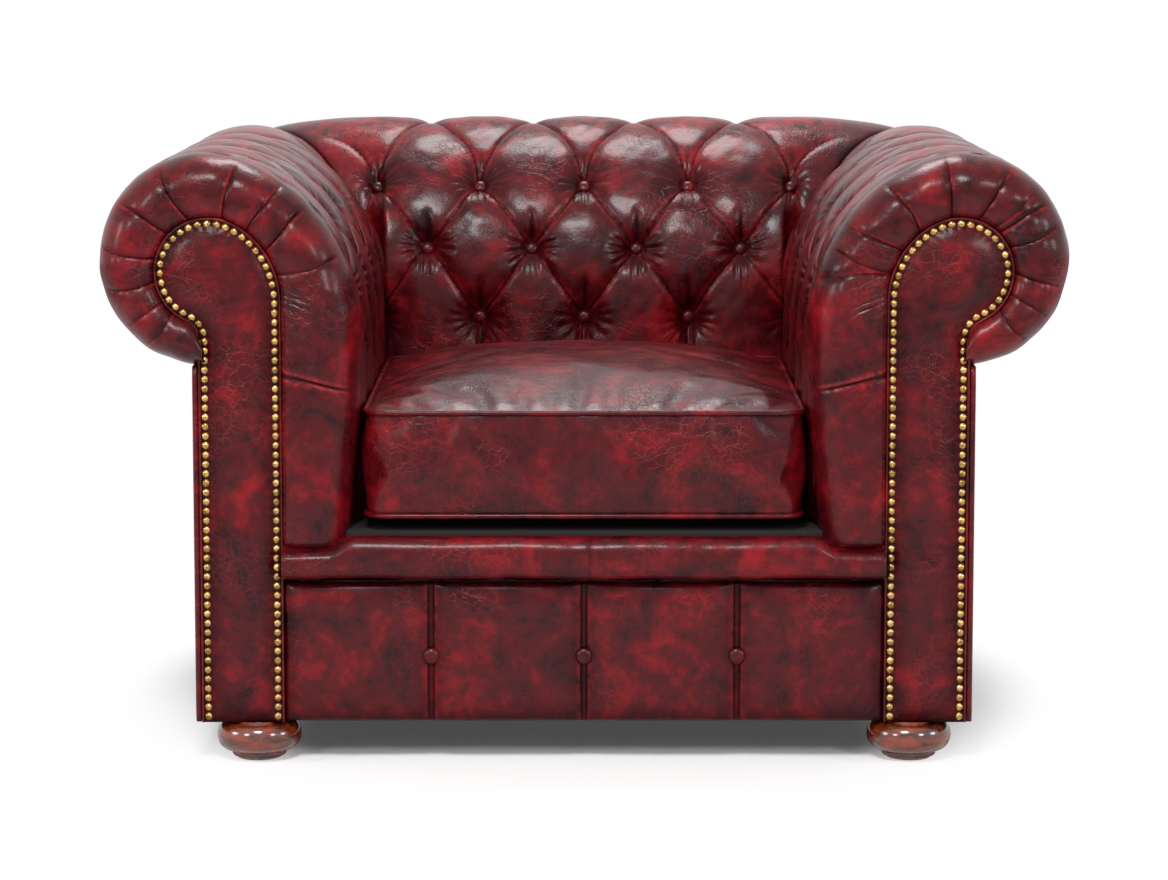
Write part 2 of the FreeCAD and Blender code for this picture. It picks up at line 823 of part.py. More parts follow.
def cushion():
    pipe = cushion_piping_radius
    high = cushion_high_seam + pipe + fit
    low = cushion_low_seam - pipe - fit
    crown = cushion_high_seam + cushion_crown - high
    belly = cushion_low_seam - cushion_belly - low
    edge = cushion_seam_inset
    side = cushion_side_inset

    def stack(rings):
        return ruled_loft([cushion_ring(z, inset) for z, inset in rings])

    def shell(outer, inner, overrun):
        first = inner[0]
        return turned(stack(outer).cut(stack([(first[0] + overrun, first[1])] + inner)))

    save("cushion_top_panel", shell(crown_rings(high, crown, edge, 0.0),
                                    crown_rings(high, crown, edge, leather), -5.0))
    save("cushion_bottom_panel", shell(crown_rings(low, belly, edge, 0.0),
                                       crown_rings(low, belly, edge, leather), 5.0))
    side_low = cushion_low_seam + pipe + fit
    side_high = cushion_high_seam - pipe - fit
    middle = (side_low + side_high) / 2
    outer = [(side_low, edge), (middle, side), (side_high, edge)]
    inner = [(side_low - 5.0, edge + leather), (side_low, edge + leather),
             (middle, side + leather), (side_high, edge + leather), (side_high + 5.0, edge + leather)]
    save("cushion_border", turned(stack(outer).cut(stack(inner))))
    piping = []
    for z in (cushion_low_seam, cushion_high_seam):
        spine = cushion_ring(z, pipe, 0.0)
        start = spine.Edges[3].Vertexes[0].Point
        way = spine.Edges[3].tangentAt(spine.Edges[3].FirstParameter)
        circle = Part.Wire([Part.Circle(start, way, pipe).toShape()])
        piping.append(turned(spine.makePipeShell([circle], True, False)))
    save("cushion_piping", piping)
    clear = leather + fit
    neck = edge + clear + pipe * 2.0
    rings = list(reversed(crown_rings(low, belly, edge, clear)))
    rings += [(cushion_low_seam, neck), (side_low, edge + clear), (middle, side + clear),
              (side_high, edge + clear), (cushion_high_seam, neck)]
    rings += crown_rings(high, crown, edge, clear)
    save("cushion_core", stack(rings))


def seat_deck():
    side = seat_half_width + deck_overhang
    front = lip_back_y + fit
    rear = back_face_y + deck_overhang
    cover_low = deck_top - deck_cover_thickness
    save("deck_cover", block(-side, side, front, rear, cover_low, deck_top))
    save("deck_pad", block(-side, side, front, rear, seat_pad_bottom, cover_low - fit))
    save("spring_cloth", block(-side, side, front, rear, spring_cloth_z,
                               spring_cloth_z + spring_cloth_thickness))


def springs():
    """Flat snaking springs from the front rail to the rear seat rail, and their clips."""
    height = spring_z
    front = (lip_back_y + post_back_y) / 2
    rear = rear_seat_y + rail / 2
    pitch = (rear - front) / spring_bends
    turn = pitch / 2
    half = spring_bar / 2
    wires = []
    clips = []
    gap = pitch
    for number in range(spring_count):
        centre = (number - (spring_count - 1) / 2) * spring_pitch
        edges = []
        points = []
        for bar in range(spring_bends + 1):
            way = 1.0 if bar % 2 == 0 else -1.0
            y = front + bar * pitch
            start = vec(centre - way * half, y, height)
            end = vec(centre + way * half, y, height)
            edges.append(line(start, end))
            points.append(y)
            if bar < spring_bends:
                far = vec(centre + way * (half + turn), y + turn, height)
                edges.append(arc(end, far, end + vec(0, pitch, 0)))
        gap = min(b - a for a, b in zip(points, points[1:])) - spring_wire
        path = Part.Wire(edges)
        start = vec(centre - half, front, height)
        circle = Part.Wire([Part.Circle(start, vec(1, 0, 0), spring_wire / 2).toShape()])
        wires.append(turned(path.makePipeShell([circle], True, False)))
        for y, way in ((front, 1.0), (rear, 1.0 if spring_bends % 2 == 0 else -1.0)):
            body = block(centre - clip_width / 2, centre + clip_width / 2, y - clip_depth / 2,
                         y + clip_depth / 2, rail_top, clip_top)
            bore = Part.makeCylinder(spring_wire / 2 + fit, clip_width,
                                     vec(centre - clip_width / 2, y, height), vec(1, 0, 0))
            clips.append(body.cut(bore))
    print("least gap between the spring's bars", round(gap, 2))
    save("seat_springs", wires)
    save("spring_clips", clips)


def webbing():
    """Straps behind the pads, from the tacking rails up to the scroll boards."""
    near = pad_thickness + fit
    low = tack_rail_top - strap_overlap
    high = top_rail_bottom + top_rail_thickness - top_rail_round
    arm_straps = []
    span = back_face_y - pad_front_y
    for number in range(arm_strap_count):
        y = pad_front_y + span * (number + 0.5) / arm_strap_count
        arm_straps.append(block(-seat_half_width - near - strap_thickness, -seat_half_width - near,
                                y - strap_width / 2, y + strap_width / 2, low, high))
    save_pair("arm_webbing", arm_straps)
    back_straps = []
    for number in range(spring_count - 1):
        x = (number - (spring_count - 2) / 2) * spring_pitch
        front = back_face_y + near
        back_straps.append(block(x - strap_width / 2, x + strap_width / 2, front,
                                 front + strap_thickness, rear_seat_rail_bottom + back_strap_lift,
                                 high + back_rise))
    save("back_webbing", back_straps)


def frame():
    """The beech frame below and behind the upholstery."""
    inside = facing_inner - fit
    save("front_rail", block(-inside, inside, lip_back_y, post_back_y, rail_bottom, rail_top))
    side_inner = side_rail_outer - rail
    save_pair("side_rail", block(-side_rail_outer, -side_inner, pad_front_y,
                                 rear_post_back_y, rail_bottom, rail_top))
    ends = rear_post_outer
    save("back_rail", block(-ends, ends, rear_rail_outer_y - rail, rear_rail_outer_y,
                            rail_bottom, rail_top))
    tack_inner = seat_half_width + tack_u
    tack_outer = tack_inner + rail
    save_pair("arm_tacking_rail", block(-tack_outer, -tack_inner, lip_back_y,
                                        rear_rail_outer_y, rail_top + fit, tack_rail_top))
    save("rear_seat_rail", block(-tack_outer, tack_outer, rear_seat_y, rear_seat_y + rail,
                                 rear_seat_rail_bottom, rail_top))
    post = block(-rear_post_outer, -rear_post_outer + rear_post_width,
                 rear_post_back_y - rear_post_width, rear_post_back_y,
                 rail_bottom, top_rail_bottom - fit)
    save_pair("rear_post", post.cut(bolt_bore(-foot_rear_x, foot_rear_y)))
    blocks = []
    for sx in (-1, 1):
        outer = side_inner - fit
        blocks.append(corner_block(sx * outer, -sx, pad_front_y, 1))
        rear_x = rear_post_outer - rear_post_width - fit
        rear_y = rear_rail_outer_y - rail - fit
        blocks.append(corner_block(sx * rear_x, -sx, rear_y, -1))
    save("corner_blocks", blocks)


def corner_block(x, way_x, y, way_y):
    """A block with its free corner cut off, its square corner at x and y."""
    size = block_size
    cut = block_chamfer
    z = rail_bottom
    points = [vec(x, y, z), vec(x + way_x * size, y, z),
              vec(x + way_x * size, y + way_y * (size - cut), z),
              vec(x + way_x * (size - cut), y + way_y * size, z), vec(x, y + way_y * size, z)]
    return turned(extruded(polygon_wire(points), vec(0, 0, block_height)))


def feet():
    """Turned bun feet with their bolts and glides."""
    bottom = glide_height
    ring_top = bottom + foot_ring_height
    neck = underside - foot_neck_height
    top = underside - fit
    middle = (ring_top + neck) / 2
    mean = (foot_radius - foot_ring_radius) * math.sqrt(0.5) + foot_ring_radius
    mean_top = (foot_radius - foot_top_radius) * math.sqrt(0.5) + foot_top_radius
    low = middle - (middle - ring_top) * 0.7
    high = middle + (neck - middle) * 0.7
    outline = [(vec(0, 0, bottom), None, vec(foot_ring_radius, 0, bottom)),
               (vec(foot_ring_radius, 0, bottom), None, vec(foot_ring_radius, 0, ring_top)),
               (vec(foot_ring_radius, 0, ring_top), vec(mean, 0, low), vec(foot_radius, 0, middle)),
               (vec(foot_radius, 0, middle), vec(mean_top, 0, high), vec(foot_top_radius, 0, neck)),
               (vec(foot_top_radius, 0, neck), None, vec(foot_top_radius, 0, top)),
               (vec(foot_top_radius, 0, top), None, vec(foot_spigot_radius, 0, top)),
               (vec(foot_spigot_radius, 0, top), None, vec(foot_spigot_radius, 0, rail_bottom)),
               (vec(foot_spigot_radius, 0, rail_bottom), None, vec(0, 0, rail_bottom)),
               (vec(0, 0, rail_bottom), None, vec(0, 0, bottom))]
    bun = revolved(outline, vec(0, 0, 0), vec(0, 0, 1))
    socket = Part.makeCylinder(bolt_radius + fit, rail_bottom, vec(0, 0, bolt_bottom - fit))
    bun = bun.cut(socket)
    spots = {"front_left": (-foot_front_x, foot_front_y),
             "front_right": (foot_front_x, foot_front_y),
             "rear_left": (-foot_rear_x, foot_rear_y), "rear_right": (foot_rear_x, foot_rear_y)}
    bolts = []
    glides = []
    for name, (x, y) in spots.items():
        save("foot_" + name, bun.translated(vec(x, y, 0)))
        bolts.append(Part.makeCylinder(bolt_radius, bolt_top - bolt_bottom, vec(x, y, bolt_bottom)))
        glides.append(Part.makeCylinder(glide_radius, glide_height, vec(x, y, 0)))
    save("foot_bolts", bolts)
    save("foot_glides", glides)
    low = rail_bottom - fit - dust_cover_thickness
    side = side_rail_outer
    rear = rear_rail_outer_y
    trim = panel_corner_radius - panel_thickness
    corners = [(-side, lip_back_y), (side, lip_back_y), (side, rear - trim), (side - trim, rear),
               (-side + trim, rear), (-side, rear - trim)]
    outline = polygon_wire([vec(x, y, low) for x, y in corners])
    cover = turned(extruded(outline, vec(0, 0, dust_cover_thickness)))
    for x, y in spots.values():
        hole = Part.makeCylinder(foot_top_radius + foot_cloth_gap, dust_cover_thickness,
                                 vec(x, y, low))
        cover = cover.cut(hole)
    save("dust_cover", cover)


os.makedirs("parts", exist_ok=True)
pads()
top_rails()
arm_front()
facings()
outside_panels()
front_border()
front_lip()
cushion()
seat_deck()
springs()
webbing()
frame()
feet()
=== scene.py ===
import json
import math

import bmesh
import bpy
import numpy as np
from mathutils import Matrix, Vector


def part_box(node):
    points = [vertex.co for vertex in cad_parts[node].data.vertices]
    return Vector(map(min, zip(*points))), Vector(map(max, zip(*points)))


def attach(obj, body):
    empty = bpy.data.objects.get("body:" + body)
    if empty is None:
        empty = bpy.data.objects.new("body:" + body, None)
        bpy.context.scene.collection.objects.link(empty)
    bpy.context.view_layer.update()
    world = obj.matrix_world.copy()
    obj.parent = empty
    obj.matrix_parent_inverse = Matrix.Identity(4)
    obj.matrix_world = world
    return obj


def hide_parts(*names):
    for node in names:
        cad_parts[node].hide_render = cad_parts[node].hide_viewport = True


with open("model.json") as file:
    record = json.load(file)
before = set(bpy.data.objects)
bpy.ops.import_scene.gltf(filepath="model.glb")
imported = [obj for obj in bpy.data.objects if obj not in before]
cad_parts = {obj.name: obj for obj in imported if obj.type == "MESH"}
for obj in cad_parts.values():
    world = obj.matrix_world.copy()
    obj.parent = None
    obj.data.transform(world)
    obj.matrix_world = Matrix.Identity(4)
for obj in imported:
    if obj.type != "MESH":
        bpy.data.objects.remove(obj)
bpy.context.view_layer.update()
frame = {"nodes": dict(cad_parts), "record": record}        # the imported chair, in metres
mm = 0.001
oneWave = 6.28        # radians from crest to crest
bothSides = ((-1, "left"), (1, "right"))        # as they are seen from the front
print("frame loaded,", len(frame["nodes"]), "nodes")

# Shapes are worked out in millimetres and stored in metres.


def smoothStep(value, low, high):
    share = np.clip((value - low) / (high - low), 0.0, 1.0)
    return share * share * (3.0 - 2.0 * share)


def bell(value, width):
    return np.exp(-(value / width) ** 2)


def ripple(x, y, z, size, seed=0.0):        # uneven waves of about that size, from -1 to 1
    total = 0.0
    for turn in range(5):
        way = seed * 1.7 + turn * 2.399
        push = x * math.cos(way) + y * math.sin(way) * 0.9 + z * math.cos(way * 1.9 + 1.0) * 0.8
        bend = np.sin((x * math.sin(way) - z * math.cos(way) + y * 0.6) * 3.1 / size + way * 5.0)
        wave = push * oneWave / (size * (0.8 + 0.17 * turn))
        total = total + np.sin(wave + bend * 1.3 + way * 3.0)
    return total / 3.2


def spread(*stops):        # places from stop to stop: first, then (next stop, step) pairs
    places = [np.array([stops[0]])]
    for end, step in stops[1:]:
        start = places[-1][-1]
        places.append(np.linspace(start, end, max(1, int(round(abs(end - start) / step))) + 1)[1:])
    return np.concatenate(places)


def walkAlong(a, b):        # how far along its line every point lies
    return np.concatenate([[0.0], np.cumsum(np.hypot(np.diff(a), np.diff(b)))])


def atIndex(index, values):        # a value between two points of an outline
    return np.interp(index, np.arange(len(values)), values)


def swellFrom(gap, reach):        # 0 at an edge and 1 well inside it
    return 1.0 - np.exp(-np.clip(gap, 0.0, None) / reach)


def storeMesh(name, work):
    mesh = bpy.data.meshes.new(name)
    work.to_mesh(mesh)
    work.free()
    mesh.polygons.foreach_set("use_smooth", [True] * len(mesh.polygons))
    piece = bpy.data.objects.new(name, mesh)
    bpy.context.scene.collection.objects.link(piece)
    return piece


def laidGrid(columns, rows, place, weld=0.02):        # a flat net, laid where place puts it
    work = bmesh.new()
    bmesh.ops.create_grid(work, x_segments=len(columns) - 1, y_segments=len(rows) - 1, size=1.0)
    flat = np.array([vert.co[:] for vert in work.verts])
    across = np.interp(flat[:, 0], np.linspace(-1.0, 1.0, len(columns)), columns)
    along = np.interp(flat[:, 1], np.linspace(-1.0, 1.0, len(rows)), rows)
    x, y, z, crease, rubAndGlint = place(across, along)
    # crease darkens the leather as painted shade in folds, wells and seams, partly the wax there;
    # rub lightens it as rub-through wear and painted highlight
    creaseShadeLayer = work.verts.layers.float.new("crease")
    rubAndGlintLayer = work.verts.layers.float.new("rubAndGlint")
    zero = np.zeros(len(across))
    for vert, px, py, pz, dark, bright in zip(work.verts, x + zero, y + zero, z + zero,
                                              crease + zero, rubAndGlint + zero):
        vert.co = (px * mm, py * mm, pz * mm)
        vert[creaseShadeLayer] = dark
        vert[rubAndGlintLayer] = bright
    bmesh.ops.remove_doubles(work, verts=work.verts, dist=weld * mm)
    return work


def closeUp(work):        # fills the open ends, and turns all faces outwards
    bmesh.ops.holes_fill(work, edges=[edge for edge in work.edges if edge.is_boundary], sides=0)
    bmesh.ops.recalc_face_normals(work, faces=work.faces)


def skinPiece(name, columns, rows, place, turned=False, thickness=2.2):
    work = laidGrid(columns, rows, place)
    if turned:
        bmesh.ops.reverse_faces(work, faces=work.faces)
    piece = storeMesh(name, work)
    hide = piece.modifiers.new("hide", "SOLIDIFY")        # the leather's own thickness
    hide.thickness = thickness * mm
    hide.offset = -1.0
    return piece


def closedPiece(name, columns, rows, place):        # the first and last column meet
    work = laidGrid(columns, rows, place)
    closeUp(work)
    return storeMesh(name, work)


def roundedOutline(a0, a1, b0, b1, radius, step):        # an even walk round a soft rectangle
    corners = [(a1 - radius, b1 - radius, 0.0), (a0 + radius, b1 - radius, 90.0),
               (a0 + radius, b0 + radius, 180.0), (a1 - radius, b0 + radius, 270.0)]
    points = []
    for a, b, start in corners:
        for turn in range(0, 91, 9):
            angle = math.radians(start + turn)
            points.append((a + radius * math.cos(angle), b + radius * math.sin(angle)))
    ringA, ringB = np.array(points + points[:1]).T
    walk = walkAlong(ringA, ringB)
    even = np.linspace(0.0, walk[-1], max(12, int(walk[-1] / step)) + 1)
    return np.interp(even, walk, ringA), np.interp(even, walk, ringB)


def tubePiece(name, paths, radius, sides):        # thin welts along closed or open paths
    curve = bpy.data.curves.new(name, "CURVE")
    curve.dimensions = "3D"
    curve.bevel_depth = radius * mm
    curve.bevel_resolution = sides // 2 - 1
    curve.use_fill_caps = True
    for points, closed in paths:
        line = curve.splines.new("POLY")
        line.points.add(len(points) - 1)
        for knot, point in zip(line.points, points):
            knot.co = (point[0] * mm, point[1] * mm, point[2] * mm, 1.0)
        line.use_cyclic_u = closed
    holder = bpy.data.objects.new(name + "_line", curve)
    bpy.context.scene.collection.objects.link(holder)
    bpy.context.view_layer.update()
    mesh = bpy.data.meshes.new_from_object(holder.evaluated_get(
        bpy.context.evaluated_depsgraph_get()))
    bpy.data.objects.remove(holder)
    work = bmesh.new()
    work.from_mesh(mesh)
    bpy.data.meshes.remove(mesh)
    bmesh.ops.remove_doubles(work, verts=work.verts, dist=0.01 * mm)
    bmesh.ops.recalc_face_normals(work, faces=work.faces)
    return storeMesh(name, work)


def turnedBody(profile, steps):        # an outline in metres, turned round the vertical
    work = bmesh.new()
    verts = [work.verts.new((x, 0.0, z)) for x, z in profile]
    edges = [work.edges.new(pair) for pair in zip(verts, verts[1:])]
    bmesh.ops.spin(work, geom=verts + edges, cent=(0, 0, 0), axis=(0, 0, 1),
                   angle=math.tau, steps=steps, use_merge=True)
    bmesh.ops.remove_doubles(work, verts=work.verts, dist=0.01 * mm)
    bmesh.ops.recalc_face_normals(work, faces=work.faces)
    return work


# Materials


def fromHex(text):        # an sRGB hex value as linear red, green, blue, alpha
    parts = [int(text[i:i + 2], 16) / 255.0 for i in (1, 3, 5)]
    return [c / 12.92 if c <= 0.04045 else ((c + 0.055) / 1.055) ** 2.4 for c in parts] + [1.0]


def setInputs(tree, node, inputs):        # each input is a value or another node's socket
    for name, value in inputs.items():
        if isinstance(value, bpy.types.NodeSocket):
            tree.links.new(value, node.inputs[name])
        else:
            node.inputs[name].default_value = value


def addNode(tree, kind, inputs=None, **settings):
    node = tree.nodes.new(kind)
    for name, value in settings.items():
        setattr(node, name, value)
    setInputs(tree, node, inputs or {})
    return node


def noiseOf(tree, place, scale, detail, roughness=0.5, distortion=0.0, output="Fac"):
    return addNode(tree, "ShaderNodeTexNoise", {
        "Vector": place, "Scale": scale, "Detail": detail, "Roughness": roughness,
        "Distortion": distortion}).outputs[output]


def mathOf(tree, operation, first, second):
    return addNode(tree, "ShaderNodeMath", {0: first, 1: second}, operation=operation).outputs[0]


def mapOf(tree, value, low, high, toLow=0.0, toHigh=1.0, **settings):
    return addNode(tree, "ShaderNodeMapRange", {
        "Value": value, "From Min": low, "From Max": high, "To Min": toLow, "To Max": toHigh},
        **settings).outputs["Result"]


def mixOf(tree, share, under, over):        # a Mix node's colours are its inputs 6 and 7
    return addNode(tree, "ShaderNodeMix", {0: share, 6: under, 7: over},
                   data_type="RGBA").outputs[2]


def mixShaders(tree, share, first, second):
    return addNode(tree, "ShaderNodeMixShader", {0: share, 1: first, 2: second}).outputs[0]


def rampOf(tree, value, stops):        # colours from place to place of a value
    node = addNode(tree, "ShaderNodeValToRGB", {"Fac": value})
    elements = node.color_ramp.elements
    while len(elements) < len(stops):
        elements.new(0.5)
    for element, (place, colour) in zip(elements, stops):
        element.position = place
        element.color = fromHex(colour)
    return node.outputs["Color"]


def bumpOf(tree, height, strength, depth, under=None, invert=False):        # depth in mm
    inputs = {"Height": height, "Strength": strength, "Distance": depth * mm}
    if under is not None:
        inputs["Normal"] = under
    return addNode(tree, "ShaderNodeBump", inputs, invert=invert).outputs["Normal"]


def newMaterial(name):
    material = bpy.data.materials.new(name)
    material.use_nodes = True
    tree = material.node_tree
    tree.nodes.clear()
    shader = addNode(tree, "ShaderNodeBsdfPrincipled")
    addNode(tree, "ShaderNodeOutputMaterial", {"Surface": shader.outputs["BSDF"]})
    place = addNode(tree, "ShaderNodeTexCoord").outputs["Object"]
    return material, tree, shader, place


leather = {        # antiqued cowhide: a dark wax finish rubbed through to red on what stands proud, lightened further there as painted highlight; the folds are darkened as painted shade, partly the wax in them
    "dark": "#210207", "mid": "#4c060d", "red": "#840c16", "rubbedAndGlint": "#a5242a", "waxAndShade": "#0a0102",
    "mottleSize": 70.0, "spotSize": 18.0, "spotShare": 0.34, "warpScale": 42.0, "warp": 0.016,
    "crackSize": 30.0, "crackWidth": 0.022, "fineCrackSize": 11.0, "fineCrackWidth": 0.04,
    "crackShare": 0.26, "patchScale": 11.0, "dentScale": 120.0, "pebbleSize": 2.6,
    "roughness": 0.29, "specular": 0.16, "coat": 0.14, "coatRoughness": 0.18, "shadedFoldSheen": 0.03}


def oxbloodLeather():
    material, tree, shader, place = newMaterial("antiqued_oxblood_leather")
    mottle = noiseOf(tree, place, 1000.0 / leather["mottleSize"], 6.0, 0.62, 0.7)
    spots = noiseOf(tree, place, 1000.0 / leather["spotSize"], 5.0, 0.65, 0.4)
    cloud = addNode(tree, "ShaderNodeMix", {0: leather["spotShare"], 2: mottle, 3: spots},
                    data_type="FLOAT").outputs[0]        # a Mix node's values are 2 and 3
    tone = rampOf(tree, cloud, [(0.36, leather["dark"]), (0.52, leather["mid"]),
                                (0.68, leather["red"])])
    warp = noiseOf(tree, place, leather["warpScale"], 3.0, output="Color")
    pushed = addNode(tree, "ShaderNodeVectorMath", {0: warp, 1: [leather["warp"]] * 3, 2: place},
                     operation="MULTIPLY_ADD").outputs[0]
    lines = []
    for kind in ("crack", "fineCrack"):
        cells = addNode(tree, "ShaderNodeTexVoronoi",
                        {"Scale": 1000.0 / leather[kind + "Size"], "Vector": pushed},
                        feature="DISTANCE_TO_EDGE").outputs["Distance"]
        lines.append(mapOf(tree, cells, 0.0, leather[kind + "Width"], 1.0, 0.0))
    patches = mapOf(tree, noiseOf(tree, place, leather["patchScale"], 3.0), 0.50, 0.66)
    crack = mathOf(tree, "MULTIPLY", mathOf(tree, "MAXIMUM", *lines), patches)
    bright = fromHex(leather["rubbedAndGlint"])
    cracked = mixOf(tree, mathOf(tree, "MULTIPLY", crack, leather["crackShare"]), tone, bright)
    # rub: the lighter red on ridges and beside folds and seams, partly rub-through wear and partly
    # painted highlight
    rubAndGlint = addNode(tree, "ShaderNodeAttribute", attribute_name="rubAndGlint").outputs["Fac"]
    rubAndGlintShare = mathOf(tree, "MULTIPLY", rubAndGlint, mapOf(tree, spots, 0.38, 0.6))
    rubbedAndGlint = mixOf(tree, rubAndGlintShare, cracked, bright)
    # crease: colour and reflection are taken down in folds, wells and seams as painted shade,
    # partly the wax in them
    crease = addNode(tree, "ShaderNodeAttribute", attribute_name="crease").outputs["Fac"]
    pebble = addNode(tree, "ShaderNodeTexVoronoi",
                     {"Scale": 1000.0 / leather["pebbleSize"], "Smoothness": 0.6,
                      "Vector": pushed}, feature="SMOOTH_F1").outputs["Distance"]
    grain = bumpOf(tree, pebble, 0.35, 0.35)
    dents = bumpOf(tree, noiseOf(tree, place, leather["dentScale"], 4.0, 0.6), 0.5, 1.2, grain)
    rough = leather["roughness"]
    specular = leather["specular"]
    coat = leather["coat"]
    fold = leather["shadedFoldSheen"]        # painted shade: the reflection is turned down in the folds
    setInputs(tree, shader, {
        "Base Color": mixOf(tree, crease, rubbedAndGlint, fromHex(leather["waxAndShade"])),
        "Roughness": mapOf(tree, cloud, 0.35, 0.65, rough - 0.05, rough + 0.09),
        "Normal": bumpOf(tree, crack, 0.6, 0.5, dents, invert=True),
        "Specular IOR Level": mapOf(tree, crease, 0.0, 1.0, specular, fold * specular),
        "Coat Weight": mapOf(tree, crease, 0.0, 1.0, coat, fold * coat),
        "IOR": 1.5, "Coat Roughness": leather["coatRoughness"]})
    return material


def plainMaterial(name, low, high, size, roughness, stretch=(1.0, 1.0, 1.0), metallic=0.0,
                  coat=0.0, bumpDepth=0.2):
    material, tree, shader, place = newMaterial(name)
    stretched = addNode(tree, "ShaderNodeMapping", {"Scale": stretch, "Vector": place})
    noise = noiseOf(tree, stretched.outputs["Vector"], 1000.0 / size, 4.0, 0.6, 0.5)
    setInputs(tree, shader, {
        "Base Color": rampOf(tree, noise, [(0.36, low), (0.64, high)]),
        "Normal": bumpOf(tree, noise, 0.5, bumpDepth), "Roughness": roughness,
        "Metallic": metallic, "Coat Weight": coat})
    return material


def wovenMaterial(name, low, high, thread):        # plain weave, thread spacing in mm
    material, tree, shader, place = newMaterial(name)
    bands = [addNode(tree, "ShaderNodeTexWave",
                     {"Scale": 1000.0 / thread / oneWave * 2.0, "Distortion": 0.6, "Detail": 1.0,
                      "Vector": place}, bands_direction=way).outputs["Fac"] for way in ("X", "Y")]
    weave = mathOf(tree, "MULTIPLY", *bands)
    setInputs(tree, shader, {
        "Base Color": rampOf(tree, weave, [(0.1, low), (0.8, high)]),
        "Normal": bumpOf(tree, weave, 0.6, 0.4), "Roughness": 0.85})
    return material


slotMaterials = {
    "oxblood_leather": oxbloodLeather(),
    # open cell polyether foam, matte and pale yellow
    "foam": plainMaterial("polyether_foam", "#cbbd8f", "#e6dbb4", 3.0, 0.95, bumpDepth=0.6),
    # planed beech, pale brown with fine flecks along the grain
    "beech": plainMaterial("planed_beech", "#a97c4d", "#c99c6b", 9.0, 0.6, (1.0, 0.12, 1.0)),
    # turned mahogany under gloss lacquer: near black figure with an orange glow
    "mahogany": plainMaterial("lacquered_mahogany", "#1c0703", "#84300f", 26.0, 0.2,
                              (1.0, 1.0, 2.6), coat=0.8, bumpDepth=0.1),
    # brass plated steel nails with dark wax left in the hollows
    "antique_brass": plainMaterial("antiqued_brass", "#75582f", "#c7a468", 9.0, 0.33,
                                   metallic=1.0, bumpDepth=0.04),
    # drawn steel wire, mid grey with a soft sheen
    "spring_steel": plainMaterial("drawn_spring_steel", "#6f7174", "#94979b", 6.0, 0.35,
                                  metallic=1.0, bumpDepth=0.05),
    # woven jute, coarse and straw brown
    "jute": wovenMaterial("jute_webbing", "#6b5433", "#b7986a", 2.4),
    # cotton platform cloth, a dark wine taken nearly to black as painted shade in the gap under the
    # cushion
    "platform_cloth": wovenMaterial("platform_cloth", "#0a0203", "#1c0708", 1.6),
    # black cambric, matte
    "dust_cloth": wovenMaterial("black_bottom_cloth", "#070707", "#1c1c1c", 1.2),
    # moulded nylon, ivory and slightly glossy
    "nylon": plainMaterial("moulded_nylon", "#b9b1a2", "#cdc6b8", 5.0, 0.45, bumpDepth=0.05),
}
slotOf = {part["node"]: part["material_slot"] for part in frame["record"]["subparts"]}
for nodeName, node in frame["nodes"].items():
    node.data.materials.clear()
    node.data.materials.append(slotMaterials[slotOf[nodeName]])
print("materials made")


def dress(piece, body, nodes, slotName):
    piece.data.materials.append(slotMaterials[slotName])
    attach(piece, body)
    if nodes:
        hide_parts(*nodes)


# The scroll that arms and back share

scroll = {"halfWidth": 550.0, "backY": 440.0, "armHeight": 695.0, "backRise": 7.0,
          "seatHalf": 256.0, "rollRadius": 119.0, "sweepRadius": 205.0, "endAngle": 266.0,
          "padBottom": 266.3, "frontY": -375.7, "squareness": 5.0, "cornerFold": 30.0,
          "foldReach": 120.0, "mitreReach": 60.0, "rimAngle": 88.0, "seam": 157.0,
          "recess": 15.0, "recessReach": 165.0}
rollW = scroll["halfWidth"] - scroll["rollRadius"]
rollZ = scroll["armHeight"] - scroll["rollRadius"]
rollU = rollW - scroll["seatHalf"]
faceY = scroll["backY"] - scroll["halfWidth"] + scroll["seatHalf"]
innerReach = scroll["sweepRadius"] - scroll["rollRadius"]
sweepZ = rollZ - math.sqrt(innerReach ** 2 - (scroll["sweepRadius"] - rollU) ** 2)
joinAngle = math.atan2(rollZ - sweepZ, scroll["sweepRadius"] - rollU)
faceLength = sweepZ - scroll["padBottom"]
sweepLength = scroll["sweepRadius"] * joinAngle
rollStart = faceLength + sweepLength
chainEnd = rollStart + scroll["rollRadius"] * (math.radians(scroll["endAngle"]) - joinAngle)
rim = rollStart + scroll["rollRadius"] * (math.radians(scroll["rimAngle"]) - joinAngle)


def sectionPoint(s, depth, rise=0.0):        # out from the seat face, and height
    sweepTurn = (s - faceLength) / scroll["sweepRadius"]
    rollTurn = joinAngle + (s - rollStart) / scroll["rollRadius"]
    sweepReach = scroll["sweepRadius"] - depth
    rollReach = scroll["rollRadius"] - depth
    onFace = s <= faceLength
    onSweep = s <= rollStart
    u = np.where(onFace, depth, np.where(
        onSweep, scroll["sweepRadius"] - sweepReach * np.cos(sweepTurn),
        rollU - rollReach * np.cos(rollTurn)))
    z = np.where(onFace, scroll["padBottom"] + s * (1.0 + rise / faceLength), np.where(
        onSweep, sweepZ + rise + sweepReach * np.sin(sweepTurn),
        rollZ + rise + rollReach * np.sin(rollTurn)))
    return u, z


def cornerReach(u, angle):        # the scroll swells in the rear corner and folds inwards
    power = scroll["squareness"]
    stretch = (np.cos(angle) ** power + np.sin(angle) ** power) ** (-1.0 / power)
    fold = scroll["cornerFold"] * np.sin(2.0 * angle)
    return u * stretch + fold * np.clip(1.0 - u / scroll["foldReach"], 0.0, None)


